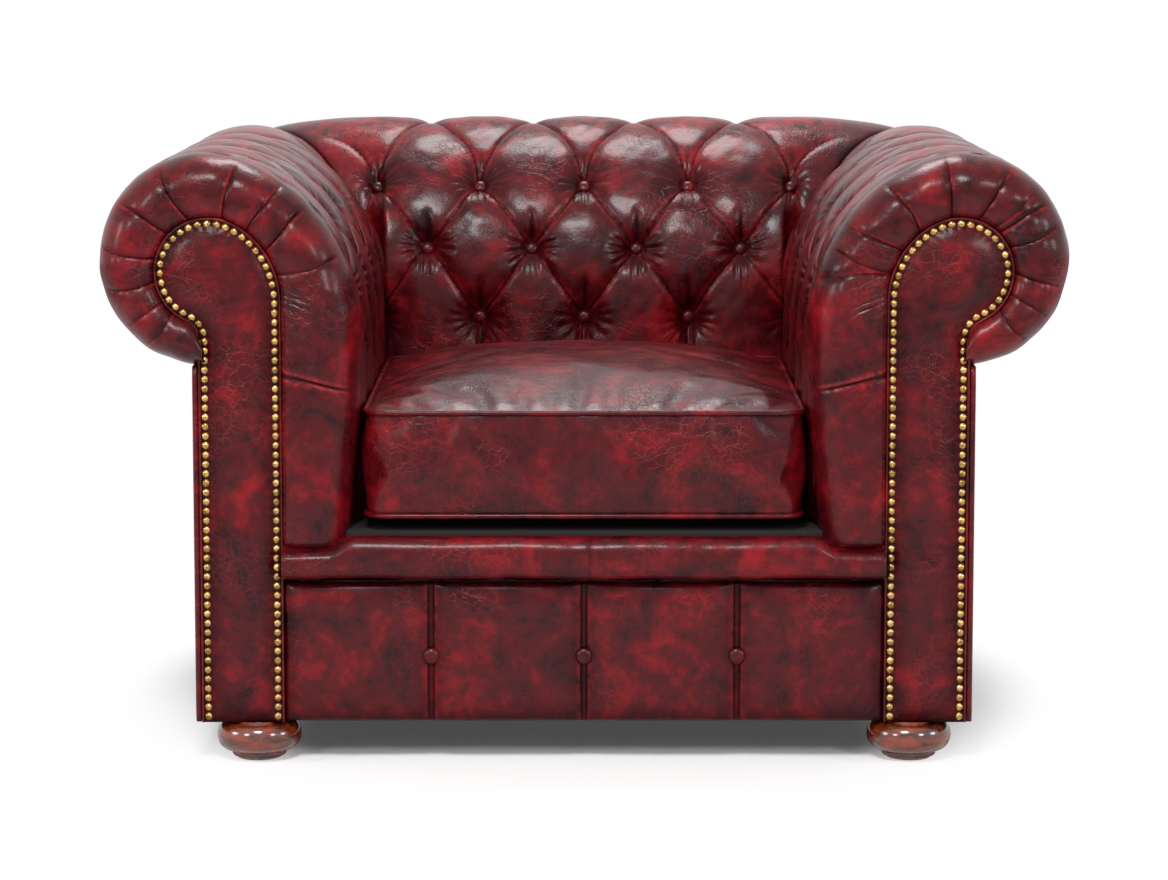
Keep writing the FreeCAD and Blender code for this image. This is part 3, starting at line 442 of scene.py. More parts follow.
def armPlace(along, s, depth):        # along is y, and past the back's face the rear corner
    share = np.clip((along - faceY) / scroll["mitreReach"], 0.0, 1.0)
    angle = share * math.pi / 4.0
    u, z = sectionPoint(s, depth, scroll["backRise"] / 2.0 * share)
    reach = cornerReach(u, angle)
    return (-scroll["seatHalf"] - np.cos(angle) * reach,
            np.minimum(along, faceY) + np.sin(angle) * reach, z)


def backPlace(along, s, depth):        # along is x, and past the seat the rear corners
    seat = scroll["seatHalf"]
    share = np.clip((np.abs(along) - seat) / scroll["mitreReach"], 0.0, 1.0)
    angle = math.pi / 2.0 - share * math.pi / 4.0
    u, z = sectionPoint(s, depth, scroll["backRise"] / 2.0 * (2.0 - share))
    reach = cornerReach(u, angle)
    return (np.clip(along, -seat, seat) + np.sign(along) * np.cos(angle) * reach,
            faceY + np.sin(angle) * reach, z)


tufting = {"pitch": 67.5, "rowHeights": (447.0, 537.0, 622.0), "pillow": 6.4, "crease": 2.0,
           "well": 9.6, "wellRadius": 24.0, "seat": 18.6, "seatRadius": 10.5, "pucker": 1.3,
           "ray": 1.2, "mitre": 13.0, "spike": 2.4, "puckerPitch": 8.2,
           "firstArmColumn": -317.7, "tailStart": 800.0, "tailEnd": 872.0}
reliefSeed = {"left": 1.0, "back": 2.0, "right": 4.0}


def rowPlace(height):
    if height <= sweepZ:
        return height - scroll["padBottom"]
    return faceLength + scroll["sweepRadius"] * math.asin((height - sweepZ) / scroll["sweepRadius"])


rowPlaces = [rowPlace(height) for height in tufting["rowHeights"]]


def toFold(value):        # 0 on a fold, 1 in the middle of a pillow
    return np.abs(value - 2.0 * np.round(value / 2.0))


def pillowDrop(share):
    return 1.0 - (1.0 - (1.0 - share) ** 2.3) ** 0.62


def tuftRelief(along, s, parity, seed):        # depth, dark crease (painted shade) and rubbed edge (rub-through wear and painted highlight)
    column = (along + 1.6 * ripple(along, s, 0.0, 95.0, seed)) / tufting["pitch"]
    walk = s + 2.0 * ripple(s, along, 0.0, 110.0, seed + 3.0)
    low, middle, high = rowPlaces
    row = np.interp(walk, [low, middle, high], [1.0, 2.0, 3.0])
    climb = np.clip((walk - high) / (rim - high), 0.0, 1.0)
    row = np.where(walk > high, 3.0 + climb ** 1.45, row)
    right = toFold(column + row + parity)
    left = toFold(column - row + parity)
    scale = np.where(walk < low, 67.0, np.where(walk < high, 54.0, 62.0))
    straight = 1.0 - 0.42 * (smoothStep(s, rim, rim + 60.0) + 1.0 - smoothStep(s, low - 50.0, low))
    depth = tufting["pillow"] * straight * (pillowDrop(right) + pillowDrop(left))
    nearest = np.minimum(right, left) * scale
    # painted shade along each fold, and below round each button, spike and pucker
    crease = np.exp(-nearest / 2.0)
    depth = depth + tufting["crease"] * (np.exp(-right * scale / 2.3)
                                         + np.exp(-left * scale / 2.3)) * straight
    # painted highlight on the lip beside each fold, partly rub-through wear
    rubAndGlint = bell(nearest - 4.2, 1.7) * 0.6
    for number, place in enumerate(rowPlaces, start=1):
        count = column + number + parity
        sideways = (count - 2.0 * np.round(count / 2.0)) * tufting["pitch"]
        upward = walk - place
        away = np.hypot(sideways, upward)
        turn = np.arctan2(upward, sideways)
        phase = np.round(count / 2.0) * 2.1 + number * 1.3 + seed
        depth = depth + tufting["well"] * np.exp(-(away / tufting["wellRadius"]) ** 2.1)
        steep = bell(sideways, 13.0) * bell(np.abs(upward) - 27.0, 14.0)
        tall = 0.45 if number == 3 else 1.0
        spike = tall * bell(sideways, 4.2) * smoothStep(upward, 5.0, 15.0) * (
            1.0 - smoothStep(upward, 36.0, 62.0))
        twin = bell(np.abs(sideways) - 4.4, 2.4) * smoothStep(-upward, 6.0, 14.0) * (
            1.0 - smoothStep(-upward, 28.0, 46.0))
        depth = depth + tufting["spike"] * (spike + 0.6 * twin)
        puckers = np.cos(sideways * oneWave / tufting["puckerPitch"] + phase)
        depth = depth + tufting["pucker"] * steep * puckers
        fan = bell(away - 25.0, 10.0) * (1.0 - 0.8 * bell(sideways, 12.0))
        depth = depth + tufting["ray"] * fan * np.cos(turn * 15.0 + phase * 2.0
                                                      + 1.5 * np.sin(turn * 3.0 + phase))
        shade = 0.85 + 0.15 * np.cos(turn * 13.0 + phase)
        crease = np.maximum(crease, np.maximum(0.96 * bell(away, 14.0),
                                               0.8 * shade * bell(away, 27.0)))
        crease = np.maximum(crease, np.maximum(0.85 * spike, 0.6 * twin))
        crease = np.maximum(crease, 0.5 * steep * np.clip(puckers, 0.0, 1.0))
        level = np.exp(-(away / tufting["seatRadius"]) ** 4)        # the button lies in a dish
        depth = depth + (tufting["seat"] - depth) * level
    depth = depth + 0.5 * ripple(along, s, 7.0, 34.0, seed + 5.0) * (1.0 - crease)
    # the crown of the roll made lighter: rub-through wear and painted highlight
    rubAndGlint = np.maximum(rubAndGlint, 0.45 * bell(s - rim + 20.0, 48.0) * smoothStep(nearest, 7.0, 20.0))
    tail = 1.0 - smoothStep(s, tufting["tailStart"], tufting["tailEnd"])
    live = tail * smoothStep(s, 5.0, 70.0)
    return depth * live, crease * live, rubAndGlint * live


padNet = {"hiddenTo": 150.0, "hidden": 10.0, "foldsTo": 640.0, "folds": 2.8, "behind": 5.0}
sectionRows = spread(0.0, (padNet["hiddenTo"], padNet["hidden"]),
                     (padNet["foldsTo"], padNet["folds"]), (chainEnd, padNet["behind"]))


def footRecess(s):        # towards its foot the front of an arm draws back from the cushion
    return scroll["recess"] * np.clip((scroll["seam"] - s) / scroll["recessReach"], 0.0, 1.0) ** 0.9


def intoMitre(relief, gap, s, edge=1.0):        # arm and back dip where they meet in the corner, and the joint is darkened as painted shade
    depth, crease, rubAndGlint = relief
    corner = smoothStep(gap, 2.0, 36.0)
    mitre = tufting["mitre"] * np.exp(-gap / 9.0) * smoothStep(s, 0.0, 60.0)
    tail = 1.0 - smoothStep(s, tufting["tailStart"], tufting["tailEnd"])
    depth = depth * edge * corner + mitre * tail + 3.0 * (1.0 - corner) * tail
    return depth, np.maximum(crease * edge * corner, bell(gap, 3.0)), rubAndGlint * edge * corner


def armPad(side, name):
    end = faceY + scroll["mitreReach"]

    def place(along, s):
        relief = tuftRelief(along - tufting["firstArmColumn"], s, 0.0, reliefSeed[name])
        edge = smoothStep(along, scroll["frontY"] + 1.0, scroll["frontY"] + 17.0)
        depth, crease, rubAndGlint = intoMitre(relief, end - along, s, edge)
        x, y, z = armPlace(along, s, depth)
        front = 1.0 - smoothStep(along, scroll["frontY"], scroll["frontY"] + 75.0)
        x = x - footRecess(s) * front
        return -side * x, y, z, crease, rubAndGlint

    columns = spread(scroll["frontY"], (end, padNet["folds"]))
    piece = skinPiece("inside_arm_" + name, columns, sectionRows, place, turned=side < 0)
    dress(piece, "root", ["arm_cover_" + name, "arm_foam_" + name], "oxblood_leather")


def backPad():
    end = scroll["seatHalf"] + scroll["mitreReach"]

    def place(along, s):
        relief = tuftRelief(along, s, 1.0, reliefSeed["back"])
        depth, crease, rubAndGlint = intoMitre(relief, end - np.abs(along), s)
        x, y, z = backPlace(along, s, depth)
        return x, y, z, crease, rubAndGlint

    columns = spread(-end, (end, padNet["folds"]))
    piece = skinPiece("inside_back", columns, sectionRows, place, turned=True)
    dress(piece, "root", ["back_cover", "back_foam"], "oxblood_leather")


for side, name in bothSides:
    armPad(side, name)
backPad()
print("tufted pads made")

# Covered buttons

tuftButton = {"radius": 8.5, "height": 5.6, "steps": 24, "sink": 0.4}
borderButton = {"radius": 9.75, "height": 5.8, "steps": 24}


def buttonMesh(size):
    radius = size["radius"] * mm
    height = size["height"] * mm
    profile = [(0.0, -0.25), (0.92, -0.25), (1.0, 0.1), (0.97, 0.36), (0.86, 0.62), (0.66, 0.83),
               (0.36, 0.96), (0.0, 1.0)]
    work = turnedBody([(x * radius, z * height) for x, z in profile], size["steps"])
    mesh = bpy.data.meshes.new("button")
    work.to_mesh(mesh)
    work.free()
    return mesh


def buttonGroup(name, spots, size, nodes):
    base = buttonMesh(size)
    work = bmesh.new()
    for point, way in spots:
        turn = Vector(way).normalized().to_track_quat("Z", "Y").to_matrix().to_4x4()
        before = len(work.verts)
        work.from_mesh(base)
        work.verts.ensure_lookup_table()
        bmesh.ops.transform(work, verts=work.verts[before:],
                            matrix=Matrix.Translation(Vector(point) * mm) @ turn)
    bpy.data.meshes.remove(base)
    dress(storeMesh(name, work), "root", nodes, "oxblood_leather")


def tuftSpots(place, along, s, depth):        # the seat of a button, and its way out
    ends = [np.array([float(v) for v in place(np.array(along), np.array(s), d)])
            for d in (depth, depth - 1.0)]
    return ends[0], ends[1] - ends[0]


def tuftSpotList(place, parity, seed, columns, start):
    spots = []
    for column in columns:
        for number, s in enumerate(rowPlaces, start=1):
            if (column + number + parity) % 2 == 0:
                along = start + column * tufting["pitch"]
                depth = float(tuftRelief(np.array([along - start]), np.array([s]), parity,
                                         seed)[0][0])
                spots.append(tuftSpots(place, along, s, depth - tuftButton["sink"]))
    return spots


spots = tuftSpotList(backPlace, 1, reliefSeed["back"], range(-4, 5), 0.0)
buttonGroup("back_tuft_buttons", spots, tuftButton, ["back_buttons"])
for side, name in bothSides:
    spots = tuftSpotList(armPlace, 0, reliefSeed[name], range(0, 7), tufting["firstArmColumn"])
    spots = [((-side * p[0], p[1], p[2]), (-side * w[0], w[1], w[2])) for p, w in spots]
    buttonGroup("arm_tuft_buttons_" + name, spots, tuftButton, ["arm_buttons_" + name])
print("buttons made")

# Arm fronts: the scroll facing, and the pleated band round it

facing = {"y": -418.0, "backY": -404.4, "inner": 344.0, "outer": 436.5, "headRadius": 61.0,
          "headW": 425.0, "headZ": 564.0, "sweepRadius": 100.0, "neckRadius": 25.0,
          "bottom": 46.0, "nailInset": 6.5, "nailPitch": 10.8, "puff": 11.0,
          "outlineStep": 2.0, "nailStep": 0.5, "weltStep": 3.0, "weltInset": 0.4,
          "weltRadius": 1.5, "acrossStep": 1.0 / 30.0, "footStep": 3.4, "headStep": 2.0}
sweepW = facing["inner"] + facing["sweepRadius"]
headSweepZ = facing["headZ"] - math.sqrt((facing["sweepRadius"] - facing["headRadius"]) ** 2
                                         - (sweepW - facing["headW"]) ** 2)
headJoin = math.atan2(facing["headZ"] - headSweepZ, sweepW - facing["headW"])
neckW = facing["outer"] + facing["neckRadius"]
neckZ = facing["headZ"] - math.sqrt((facing["headRadius"] + facing["neckRadius"]) ** 2
                                    - (neckW - facing["headW"]) ** 2)
neckTurn = math.atan2(facing["headZ"] - neckZ, neckW - facing["headW"])


def arcPoint(centre, radius, angle):
    return centre[0] - radius * np.cos(angle), centre[1] + radius * np.sin(angle)


def facingOutline(step, inset=0.0):        # from the inner foot round the head to the outer foot
    head = (facing["headW"], facing["headZ"])
    parts = [(facing["inner"] + inset + np.zeros(2), np.array([facing["bottom"], headSweepZ]))]
    turn = np.linspace(0.0, headJoin, 40)
    parts.append(arcPoint((sweepW, headSweepZ), facing["sweepRadius"] - inset, turn))
    turn = np.linspace(headJoin, math.pi + neckTurn, 90)
    parts.append(arcPoint(head, facing["headRadius"] - inset, turn))
    turn = np.linspace(neckTurn, 0.0, 24)
    parts.append(arcPoint((neckW, neckZ), facing["neckRadius"] + inset, turn))
    parts.append((facing["outer"] - inset + np.zeros(2), np.array([neckZ, facing["bottom"]])))
    w = np.concatenate([part[0] for part in parts])
    z = np.concatenate([part[1] for part in parts])
    walk = walkAlong(w, z)
    even = np.linspace(0.0, walk[-1], int(walk[-1] / step) + 1)
    return np.interp(even, walk, w), np.interp(even, walk, z), even


outlineW, outlineZ, outlineWalk = facingOutline(facing["outlineStep"])
nailW, nailZ, nailWalk = facingOutline(facing["nailStep"], facing["nailInset"])
nailCount = int(nailWalk[-1] / facing["nailPitch"])
nailStart = (nailWalk[-1] - (nailCount - 1) * facing["nailPitch"]) / 2.0


def facingPad(side, name):
    half = outlineWalk[-1] / 2.0

    def place(share, walk):
        startW = np.interp(walk, outlineWalk, outlineW)
        startZ = np.interp(walk, outlineWalk, outlineZ)
        endW = np.interp(outlineWalk[-1] - walk, outlineWalk, outlineW)
        endZ = np.interp(outlineWalk[-1] - walk, outlineWalk, outlineZ)
        w = startW + (endW - startW) * share
        z = startZ + (endZ - startZ) * share
        far = np.hypot(w[:, None] - outlineW[None, :], z[:, None] - outlineZ[None, :])
        edge = np.minimum(far.min(axis=1), np.maximum(z - facing["bottom"], 0.0) + 3.0)
        nearNail = np.hypot(w[:, None] - nailW[None, ::2], z[:, None] - nailZ[None, ::2])
        walkNail = nailWalk[::2][nearNail.argmin(axis=1)]
        swell = facing["puff"] * swellFrom(edge - 8.5, 15.0)
        swell = swell * (0.85 + 0.15 * ripple(w, z, 0.0, 120.0, 2.0 + side))
        gather = np.cos((walkNail - nailStart) / facing["nailPitch"] * math.tau)
        swell = swell + 0.5 * gather * bell(edge - 11.0, 3.0)
        swell = swell + 0.35 * ripple(w, z, 0.0, 26.0, 3.0 + side) * smoothStep(edge, 12.0, 24.0)
        rimDrop = 3.0 * (1.0 - np.sqrt(1.0 - np.clip((3.0 - edge) / 3.0, 0.0, 1.0) ** 2))
        y = facing["y"] - 0.3 - swell + rimDrop
        # painted shade towards the nails and the facing's edge; the rub on the puff inside the
        # nails is rub-through wear and painted highlight
        crease = np.maximum(0.8 * bell(edge - 5.0, 4.5), 0.9 * bell(edge, 1.2))
        crease = np.maximum(crease, 0.62 * bell(edge - 6.0, 14.0))
        rubAndGlint = 0.35 * bell(edge - 13.0, 3.0) * (0.5 + 0.5 * gather)
        return side * w, y, z, crease, rubAndGlint

    rows = spread(0.0, (half - 60.0, facing["footStep"]), (half, facing["headStep"]))
    work = laidGrid(spread(0.0, (1.0, facing["acrossStep"])), rows, place, weld=0.05)
    rims = [edge for edge in work.edges if edge.is_boundary]
    grown = bmesh.ops.extrude_edge_only(work, edges=rims)["geom"]
    for vert in [item for item in grown if isinstance(item, bmesh.types.BMVert)]:
        vert.co.y = facing["backY"] * mm
    closeUp(work)
    piece = storeMesh("scroll_facing_" + name, work)
    dress(piece, "root", ["arm_facing_" + name], "oxblood_leather")
    w, z = facingOutline(facing["weltStep"], facing["weltInset"])[:2]
    line = [(side * a, facing["y"] - 0.2, b) for a, b in zip(w, z)]
    welt = tubePiece("facing_welt_" + name, [(line, False)], facing["weltRadius"], 8)
    dress(welt, "root", [], "oxblood_leather")


for side, name in bothSides:
    facingPad(side, name)

band = {"frontY": -428.0, "backY": -376.0, "tuckY": -409.0, "lowest": -23.0, "overrun": 12.0}
leftPleats = [(303, 320, 0.6), (370, 388, 1.0), (443, 423, 1.0), (507, 481, 1.0), (583, 571, 1.0),
              (644, 635, 1.0), (709, 692, 0.9), (763, 738, 0.9), (815, 792, 0.7), (846, 819, 0.6)]
rightPleats = [(304, 284, 0.8), (307, 329, 0.6), (372, 358, 1.0), (435, 421, 1.0),
               (520, 500, 1.0), (582, 573, 1.0), (621, 610, 0.5), (641, 636, 0.9),
               (681, 662, 0.8), (743, 736, 0.9), (793, 779, 0.8), (834, 811, 0.7)]


def facingEdge(s):        # the facing's outline matched to the same place on the arm's outline
    onFace = s <= faceLength
    onSweep = s <= rollStart
    onRoll = s <= chainEnd
    faceShare = s / faceLength
    sweepAngle = (s - faceLength) / sweepLength * headJoin
    rollAngle = headJoin + (s - rollStart) / (chainEnd - rollStart) * (
        math.pi + neckTurn - headJoin)
    neckAngle = neckTurn * (1.0 - np.clip((s - chainEnd) / band["overrun"], 0.0, 1.0))
    bottom = scroll["padBottom"]
    sweep = arcPoint((sweepW, headSweepZ), facing["sweepRadius"], sweepAngle)
    roll = arcPoint((facing["headW"], facing["headZ"]), facing["headRadius"], rollAngle)
    neck = arcPoint((neckW, neckZ), facing["neckRadius"], neckAngle)
    w = np.where(onFace, facing["inner"], np.where(onSweep, sweep[0],
                                                   np.where(onRoll, roll[0], neck[0])))
    z = np.where(onFace, bottom + np.where(s < 0.0, s, faceShare * (headSweepZ - bottom)),
                 np.where(onSweep, sweep[1], np.where(onRoll, roll[1], neck[1])))
    return w, z


def armBand(side, name):
    pleats = leftPleats if side < 0 else rightPleats

    def place(s, share):
        u, armZ = sectionPoint(s, 0.0)
        armW = scroll["seatHalf"] + u
        innerW, innerZ = facingEdge(s)
        dip = np.zeros(len(s))
        crease = np.zeros(len(s))
        rubAndGlint = np.zeros(len(s))
        near = 0.52 + 0.48 * share        # the outline is shorter near the facing
        size = np.hypot(armW - innerW, armZ - innerZ)
        for number, (start, end, weight) in enumerate(pleats):
            bow = 5.0 * math.sin(number * 2.3 + side) * np.sin(share * math.pi)
            off = (s - start - (end - start) * share - bow) * near
            live = weight * (1.0 - smoothStep(share, 0.78, 0.99)) * smoothStep(share, 0.0, 0.06)
            way = 1.0 if end >= start else -1.0
            steep = np.where(off * way > 0.0, np.exp(-np.abs(off) / 1.3),
                             np.exp(-np.abs(off) / 7.0))
            dip = dip + live * (3.4 * steep + 2.2 * np.exp(-np.abs(off) / 12.0))
            # painted shade in each pleat, and beside it a painted highlight that is partly
            # rub-through wear
            crease = np.maximum(crease, live * bell(off, 1.6))
            crease = np.maximum(crease, 0.5 * live * bell(off, 6.0))
            rubAndGlint = np.maximum(rubAndGlint, live * bell(off + way * 3.2, 1.6))
        seamOff = (s - scroll["seam"] - 2.0 * np.sin(share * 3.0)) * near
        live = 1.0 - 0.4 * smoothStep(share, 0.8, 1.0)
        dip = dip + live * (1.9 * bell(seamOff, 1.4) + 1.0 * bell(seamOff, 9.0))
        # the same painted shade and painted highlight along the seam
        crease = np.maximum(crease, live * bell(seamOff, 1.1))
        rubAndGlint = np.maximum(rubAndGlint, 0.9 * live * bell(np.abs(seamOff) - 3.0, 1.3))
        lower = footRecess(s) / scroll["recess"]
        puckers = bell(s - 232.0, 30.0) * bell(share - 0.3, 0.22)
        dip = dip + 1.1 * puckers * np.cos((s + 22.0 * share ** 2) * oneWave / 12.5 + side)
        dip = dip + 0.7 * ripple(s, share * size, 3.0, 46.0, 6.0 + side)
        dip = dip - 2.2 * bell(share - 0.45, 0.3) * (1.0 - lower)
        turn = np.clip((share - 0.5) / 0.5, 0.0, 1.0)
        roundOver = 1.0 - np.sqrt(np.clip(1.0 - turn ** 2.3, 0.0, 1.0))
        y = band["frontY"] + (band["backY"] - band["frontY"]) * roundOver
        tuck = np.exp(-share * size / 5.5)
        y = y * (1.0 - tuck) + band["tuckY"] * tuck
        lowEnd = smoothStep(-s, 6.0, 23.0)        # the foot of the pad rolls under onto the lip
        y = y + dip * np.cos(turn * math.pi / 2.0) + 16.0 * lowEnd ** 2
        along = share * (size - footRecess(s)) - dip * np.sin(turn * math.pi / 2.0)
        w = innerW + (armW - innerW) / size * along
        z = innerZ + (armZ - innerZ) / size * along
        # painted shade where the band tucks in against the facing
        crease = np.maximum(crease, 0.9 * bell(share * size, 3.0))
        return side * w, y, z, crease, rubAndGlint

    columns = spread(band["lowest"], (220.0, 3.2), (chainEnd + band["overrun"], 2.6))
    rows = spread(0.0, (0.12, 0.02), (0.8, 0.034), (1.0, 0.02))
    piece = skinPiece("arm_band_" + name, columns, rows, place, turned=side > 0)
    dress(piece, "root", ["arm_front_cover_" + name, "arm_front_foam_" + name],
          "oxblood_leather")


for side, name in bothSides:
    armBand(side, name)
print("arm fronts made")

# Outside panels

panel = {"outer": 445.0, "thickness": 8.0, "rearY": faceY + 189.0, "radius": 30.0,
         "bottom": 46.0, "top": 456.0, "frontY": -416.0, "puff": 1.6}


def outsideArm(side, name):
    inner = panel["outer"] - panel["thickness"]
    rearEdge = panel["rearY"] - panel["radius"] - 0.3
    ringX, ringY = roundedOutline(inner, panel["outer"], panel["frontY"], rearEdge, 3.4, 4.0)

    def place(index, z):
        x = atIndex(index, ringX)
        y = atIndex(index, ringY)
        out = smoothStep(x, inner + 4.0, panel["outer"])
        edge = np.minimum.reduce([y - panel["frontY"], rearEdge - y, z - panel["bottom"],
                                  panel["top"] - z])
        swell = panel["puff"] * swellFrom(edge, 22.0)
        swell = swell + 0.5 * ripple(y, z, 0.0, 130.0, side) * smoothStep(edge, 0.0, 40.0)
        # the seam groove is darkened as painted shade, and the edge beside it lightened as painted
        # highlight with rub-through wear
        seam = bell(y - panel["frontY"] - 8.0, 1.3)
        swell = (swell - 1.0 * seam) * out
        rubAndGlint = 0.5 * bell(y - panel["frontY"] - 4.5, 1.6) * out
        return side * (x + swell), y, z, 0.8 * seam * out, rubAndGlint

    piece = closedPiece("outside_arm_panel_" + name, np.arange(len(ringX)),
                        spread(panel["bottom"], (panel["top"], 12.0)), place)
    dress(piece, "root", ["outside_arm_" + name], "oxblood_leather")


def outsideBack():
    radius = panel["radius"]
    side = panel["outer"] - radius
    turn = np.radians(np.linspace(0.0, 90.0, 13))
    cornerY = panel["rearY"] - radius

    def run(r):        # round one rear corner, along the back and round the other
        x = np.concatenate([-side - r * np.cos(turn), np.linspace(-side, side, 160)[1:-1],
                            side + r * np.sin(turn)])
        y = np.concatenate([cornerY + r * np.sin(turn), np.full(158, cornerY + r),
                            cornerY + r * np.cos(turn)])
        return x, y

    outX, outY = run(radius)
    inX, inY = run(radius - panel["thickness"])
    ringX = np.concatenate([outX, inX[::-1], outX[:1]])
    ringY = np.concatenate([outY, inY[::-1], outY[:1]])
    outside = np.concatenate([np.ones(len(outX)), np.zeros(len(inX)), np.ones(1)])

    def place(index, z):
        x = atIndex(index, ringX)
        y = atIndex(index, ringY)
        out = atIndex(index, outside) * smoothStep(y, cornerY, cornerY + 20)
        edge = np.minimum(np.minimum(z - panel["bottom"], panel["top"] - z), 440.0 - np.abs(x))
        swell = panel["puff"] * 1.6 * swellFrom(edge, 26.0)
        swell = swell + 0.8 * ripple(x, z, 0.0, 150.0, 5.0) * smoothStep(edge, 0.0, 50.0)
        return x, y + swell * out, z, np.zeros(len(x)), np.zeros(len(x))

    piece = closedPiece("outside_back_panel", np.arange(len(ringX)),
                        spread(panel["bottom"], (panel["top"], 10.0)), place)
    dress(piece, "root", ["outside_back"], "oxblood_leather")


for side, name in bothSides:
    outsideArm(side, name)
outsideBack()

# Front lip and border

lip = {"frontY": -440.0, "backY": -400.2, "bottom": 213.0, "top": 262.0, "half": 343.5,
       "pressFrom": 262.0, "pressTo": 292.0, "press": 0.30}
border = {"frontY": -413.5, "backY": -400.4, "bottom": 46.0, "top": 209.0, "half": 343.5,
          "swell": 9.0, "seamPitch": 175.0, "seamHalf": 2.6, "buttonZ": 122.0, "step": 4.0,
          "seamStep": 1.0, "seamReach": 7.0}


def frontLip():
    ringY, ringZ = roundedOutline(lip["frontY"], lip["backY"], lip["bottom"], lip["top"], 18.5, 2.6)

    def place(index, x):
        y = atIndex(index, ringY)
        z = atIndex(index, ringZ)
        front = smoothStep(lip["backY"] - y, 4.0, 26.0)
        press = smoothStep(np.abs(x), lip["pressFrom"], lip["pressTo"])
        z = lip["bottom"] + (z - lip["bottom"]) * (1.0 - lip["press"] * press * front)
        # the centre seam is darkened as painted shade, with a painted highlight beside it that is
        # partly rub-through wear
        seam = bell(x - 8.0, 1.6) * 0.8
        soft = 0.8 * ripple(x, z * 0.4, 0.0, 110.0, 1.5) + 0.35 * ripple(x, z * 0.2, 0.0, 24.0, 2.5)
        y = y + front * (soft + 0.8 * seam)
        z = z + 0.8 * front * ripple(x, 0.0, 0.0, 140.0, 4.5)
        return x, y, z, 0.6 * seam * front, 0.3 * bell(x - 12.0, 2.0) * front

    rows = spread(-lip["half"], (lip["half"], 3.4))
    piece = closedPiece("front_lip_roll", np.arange(len(ringY)), rows, place)
    dress(piece, "root", ["front_lip"], "oxblood_leather")


def frontBorder():
    ringY, ringZ = roundedOutline(border["frontY"], border["backY"], border["bottom"],
                                  border["top"], 5.5, 2.8)
    seams = [-border["seamPitch"], 0.0, border["seamPitch"]]

    def place(index, x):
        y = atIndex(index, ringY)
        z = atIndex(index, ringZ)
        front = smoothStep(border["backY"] - y, 5.0, 12.5)
        off = np.min([np.abs(x - seam) for seam in seams], axis=0)
        sideGap = border["half"] - np.abs(x)
        topGap = border["top"] - z
        lowGap = z - border["bottom"]
        swell = border["swell"] * swellFrom(off, 19.0) * swellFrom(sideGap, 9.0)
        swell = swell * swellFrom(topGap + 2.0, 8.0) * swellFrom(lowGap + 3.0, 9.0)
        swell = swell + 2.4 * bell(topGap - 24.0, 17.0) * smoothStep(off, 0.0, 30.0)
        # painted shade in each seam and button well, with a painted highlight beside the seam that
        # is partly rub-through wear
        stripe = bell(off - border["seamHalf"], 1.0)
        crease = 0.95 * stripe
        swell = swell - 1.8 * stripe
        rubAndGlint = 0.5 * bell(off - border["seamHalf"] - 3.0, 1.6)
        for number, seam in enumerate(seams):
            away = np.hypot(x - seam, z - border["buttonZ"])
            turn = np.arctan2(z - border["buttonZ"], x - seam)
            swell = swell - 2.6 * bell(away, 17.0)
            rays = bell(away - 22.0, 9.0) * np.abs(np.cos(turn)) ** 0.5
            swell = swell - 0.8 * rays * np.cos(turn * 15.0 + number)
            crease = np.maximum(crease, 0.7 * bell(away, 11.5))
        swell = swell + 0.7 * ripple(x, z, 0.0, 90.0, 7.0) + 0.3 * ripple(x, z, 0.0, 30.0, 8.0)
        # painted shade at the tucked ends and along the rims
        crease = np.maximum(crease, 0.9 * bell(sideGap, 3.0))
        rim = np.minimum(np.minimum(topGap, lowGap), np.minimum(sideGap, off + 2.0))
        crease = np.maximum(crease, 0.5 * bell(rim, 13.0))
        return x, y - swell * front, z, crease * front, rubAndGlint * front

    stops = []
    for seam in seams:        # a finer net beside each seam
        stops += [(seam - border["seamReach"], border["step"]),
                  (seam + border["seamReach"], border["seamStep"])]
    rows = spread(-border["half"], *stops, (border["half"], border["step"]))
    piece = closedPiece("front_border_pad", np.arange(len(ringY)), rows, place)
    dress(piece, "root", ["front_border"], "oxblood_leather")
    spots = [((seam, border["frontY"] + 0.6, border["buttonZ"]), (0, -1, 0)) for seam in seams]
    buttonGroup("border_seam_buttons", spots, borderButton, ["border_buttons"])


frontLip()
frontBorder()
print("lip and border made")

# Platform cloth under the cushion, turned down over the front of the deck

deck = {"half": 299.5, "frontY": -401.0, "rearY": 190.0, "top": 265.9, "turnDown": 243.0}


def deckCloth():
    # the near-black cloth turned down over the deck's front is painted shade in the gap behind the
    # lip
    pathY = np.array([deck["rearY"], -397.5, -399.8, deck["frontY"], deck["frontY"]])
    pathZ = np.array([deck["top"], deck["top"], deck["top"] - 0.4, deck["top"] - 1.6,
                      deck["turnDown"]])

    def place(x, index):
        return x, atIndex(index, pathY), atIndex(index, pathZ), 0.0, 0.0

    piece = skinPiece("deck_cloth", spread(-deck["half"], (deck["half"], 20.0)),
                      spread(0.0, (4.0, 0.25)), place, turned=True, thickness=1.5)
    dress(piece, "root", ["deck_cover"], "platform_cloth")


deckCloth()

# Loose seat cushion

cushion = {"half": 254.0, "frontY": -412.0, "rearY": faceY - 2.0, "low": 283.0, "high": 402.0,
           "radius": 28.0, "crown": 44.0, "belly": 14.0, "weltRadius": 3.2, "seamInset": 4.0,
           "cell": 7.0, "startCrown": 30.0, "startBelly": 4.0, "quickRise": 12.0,
          "pressure": 4.0, "frames": 20, "cap": 28.0, "deckZ": 267.0}


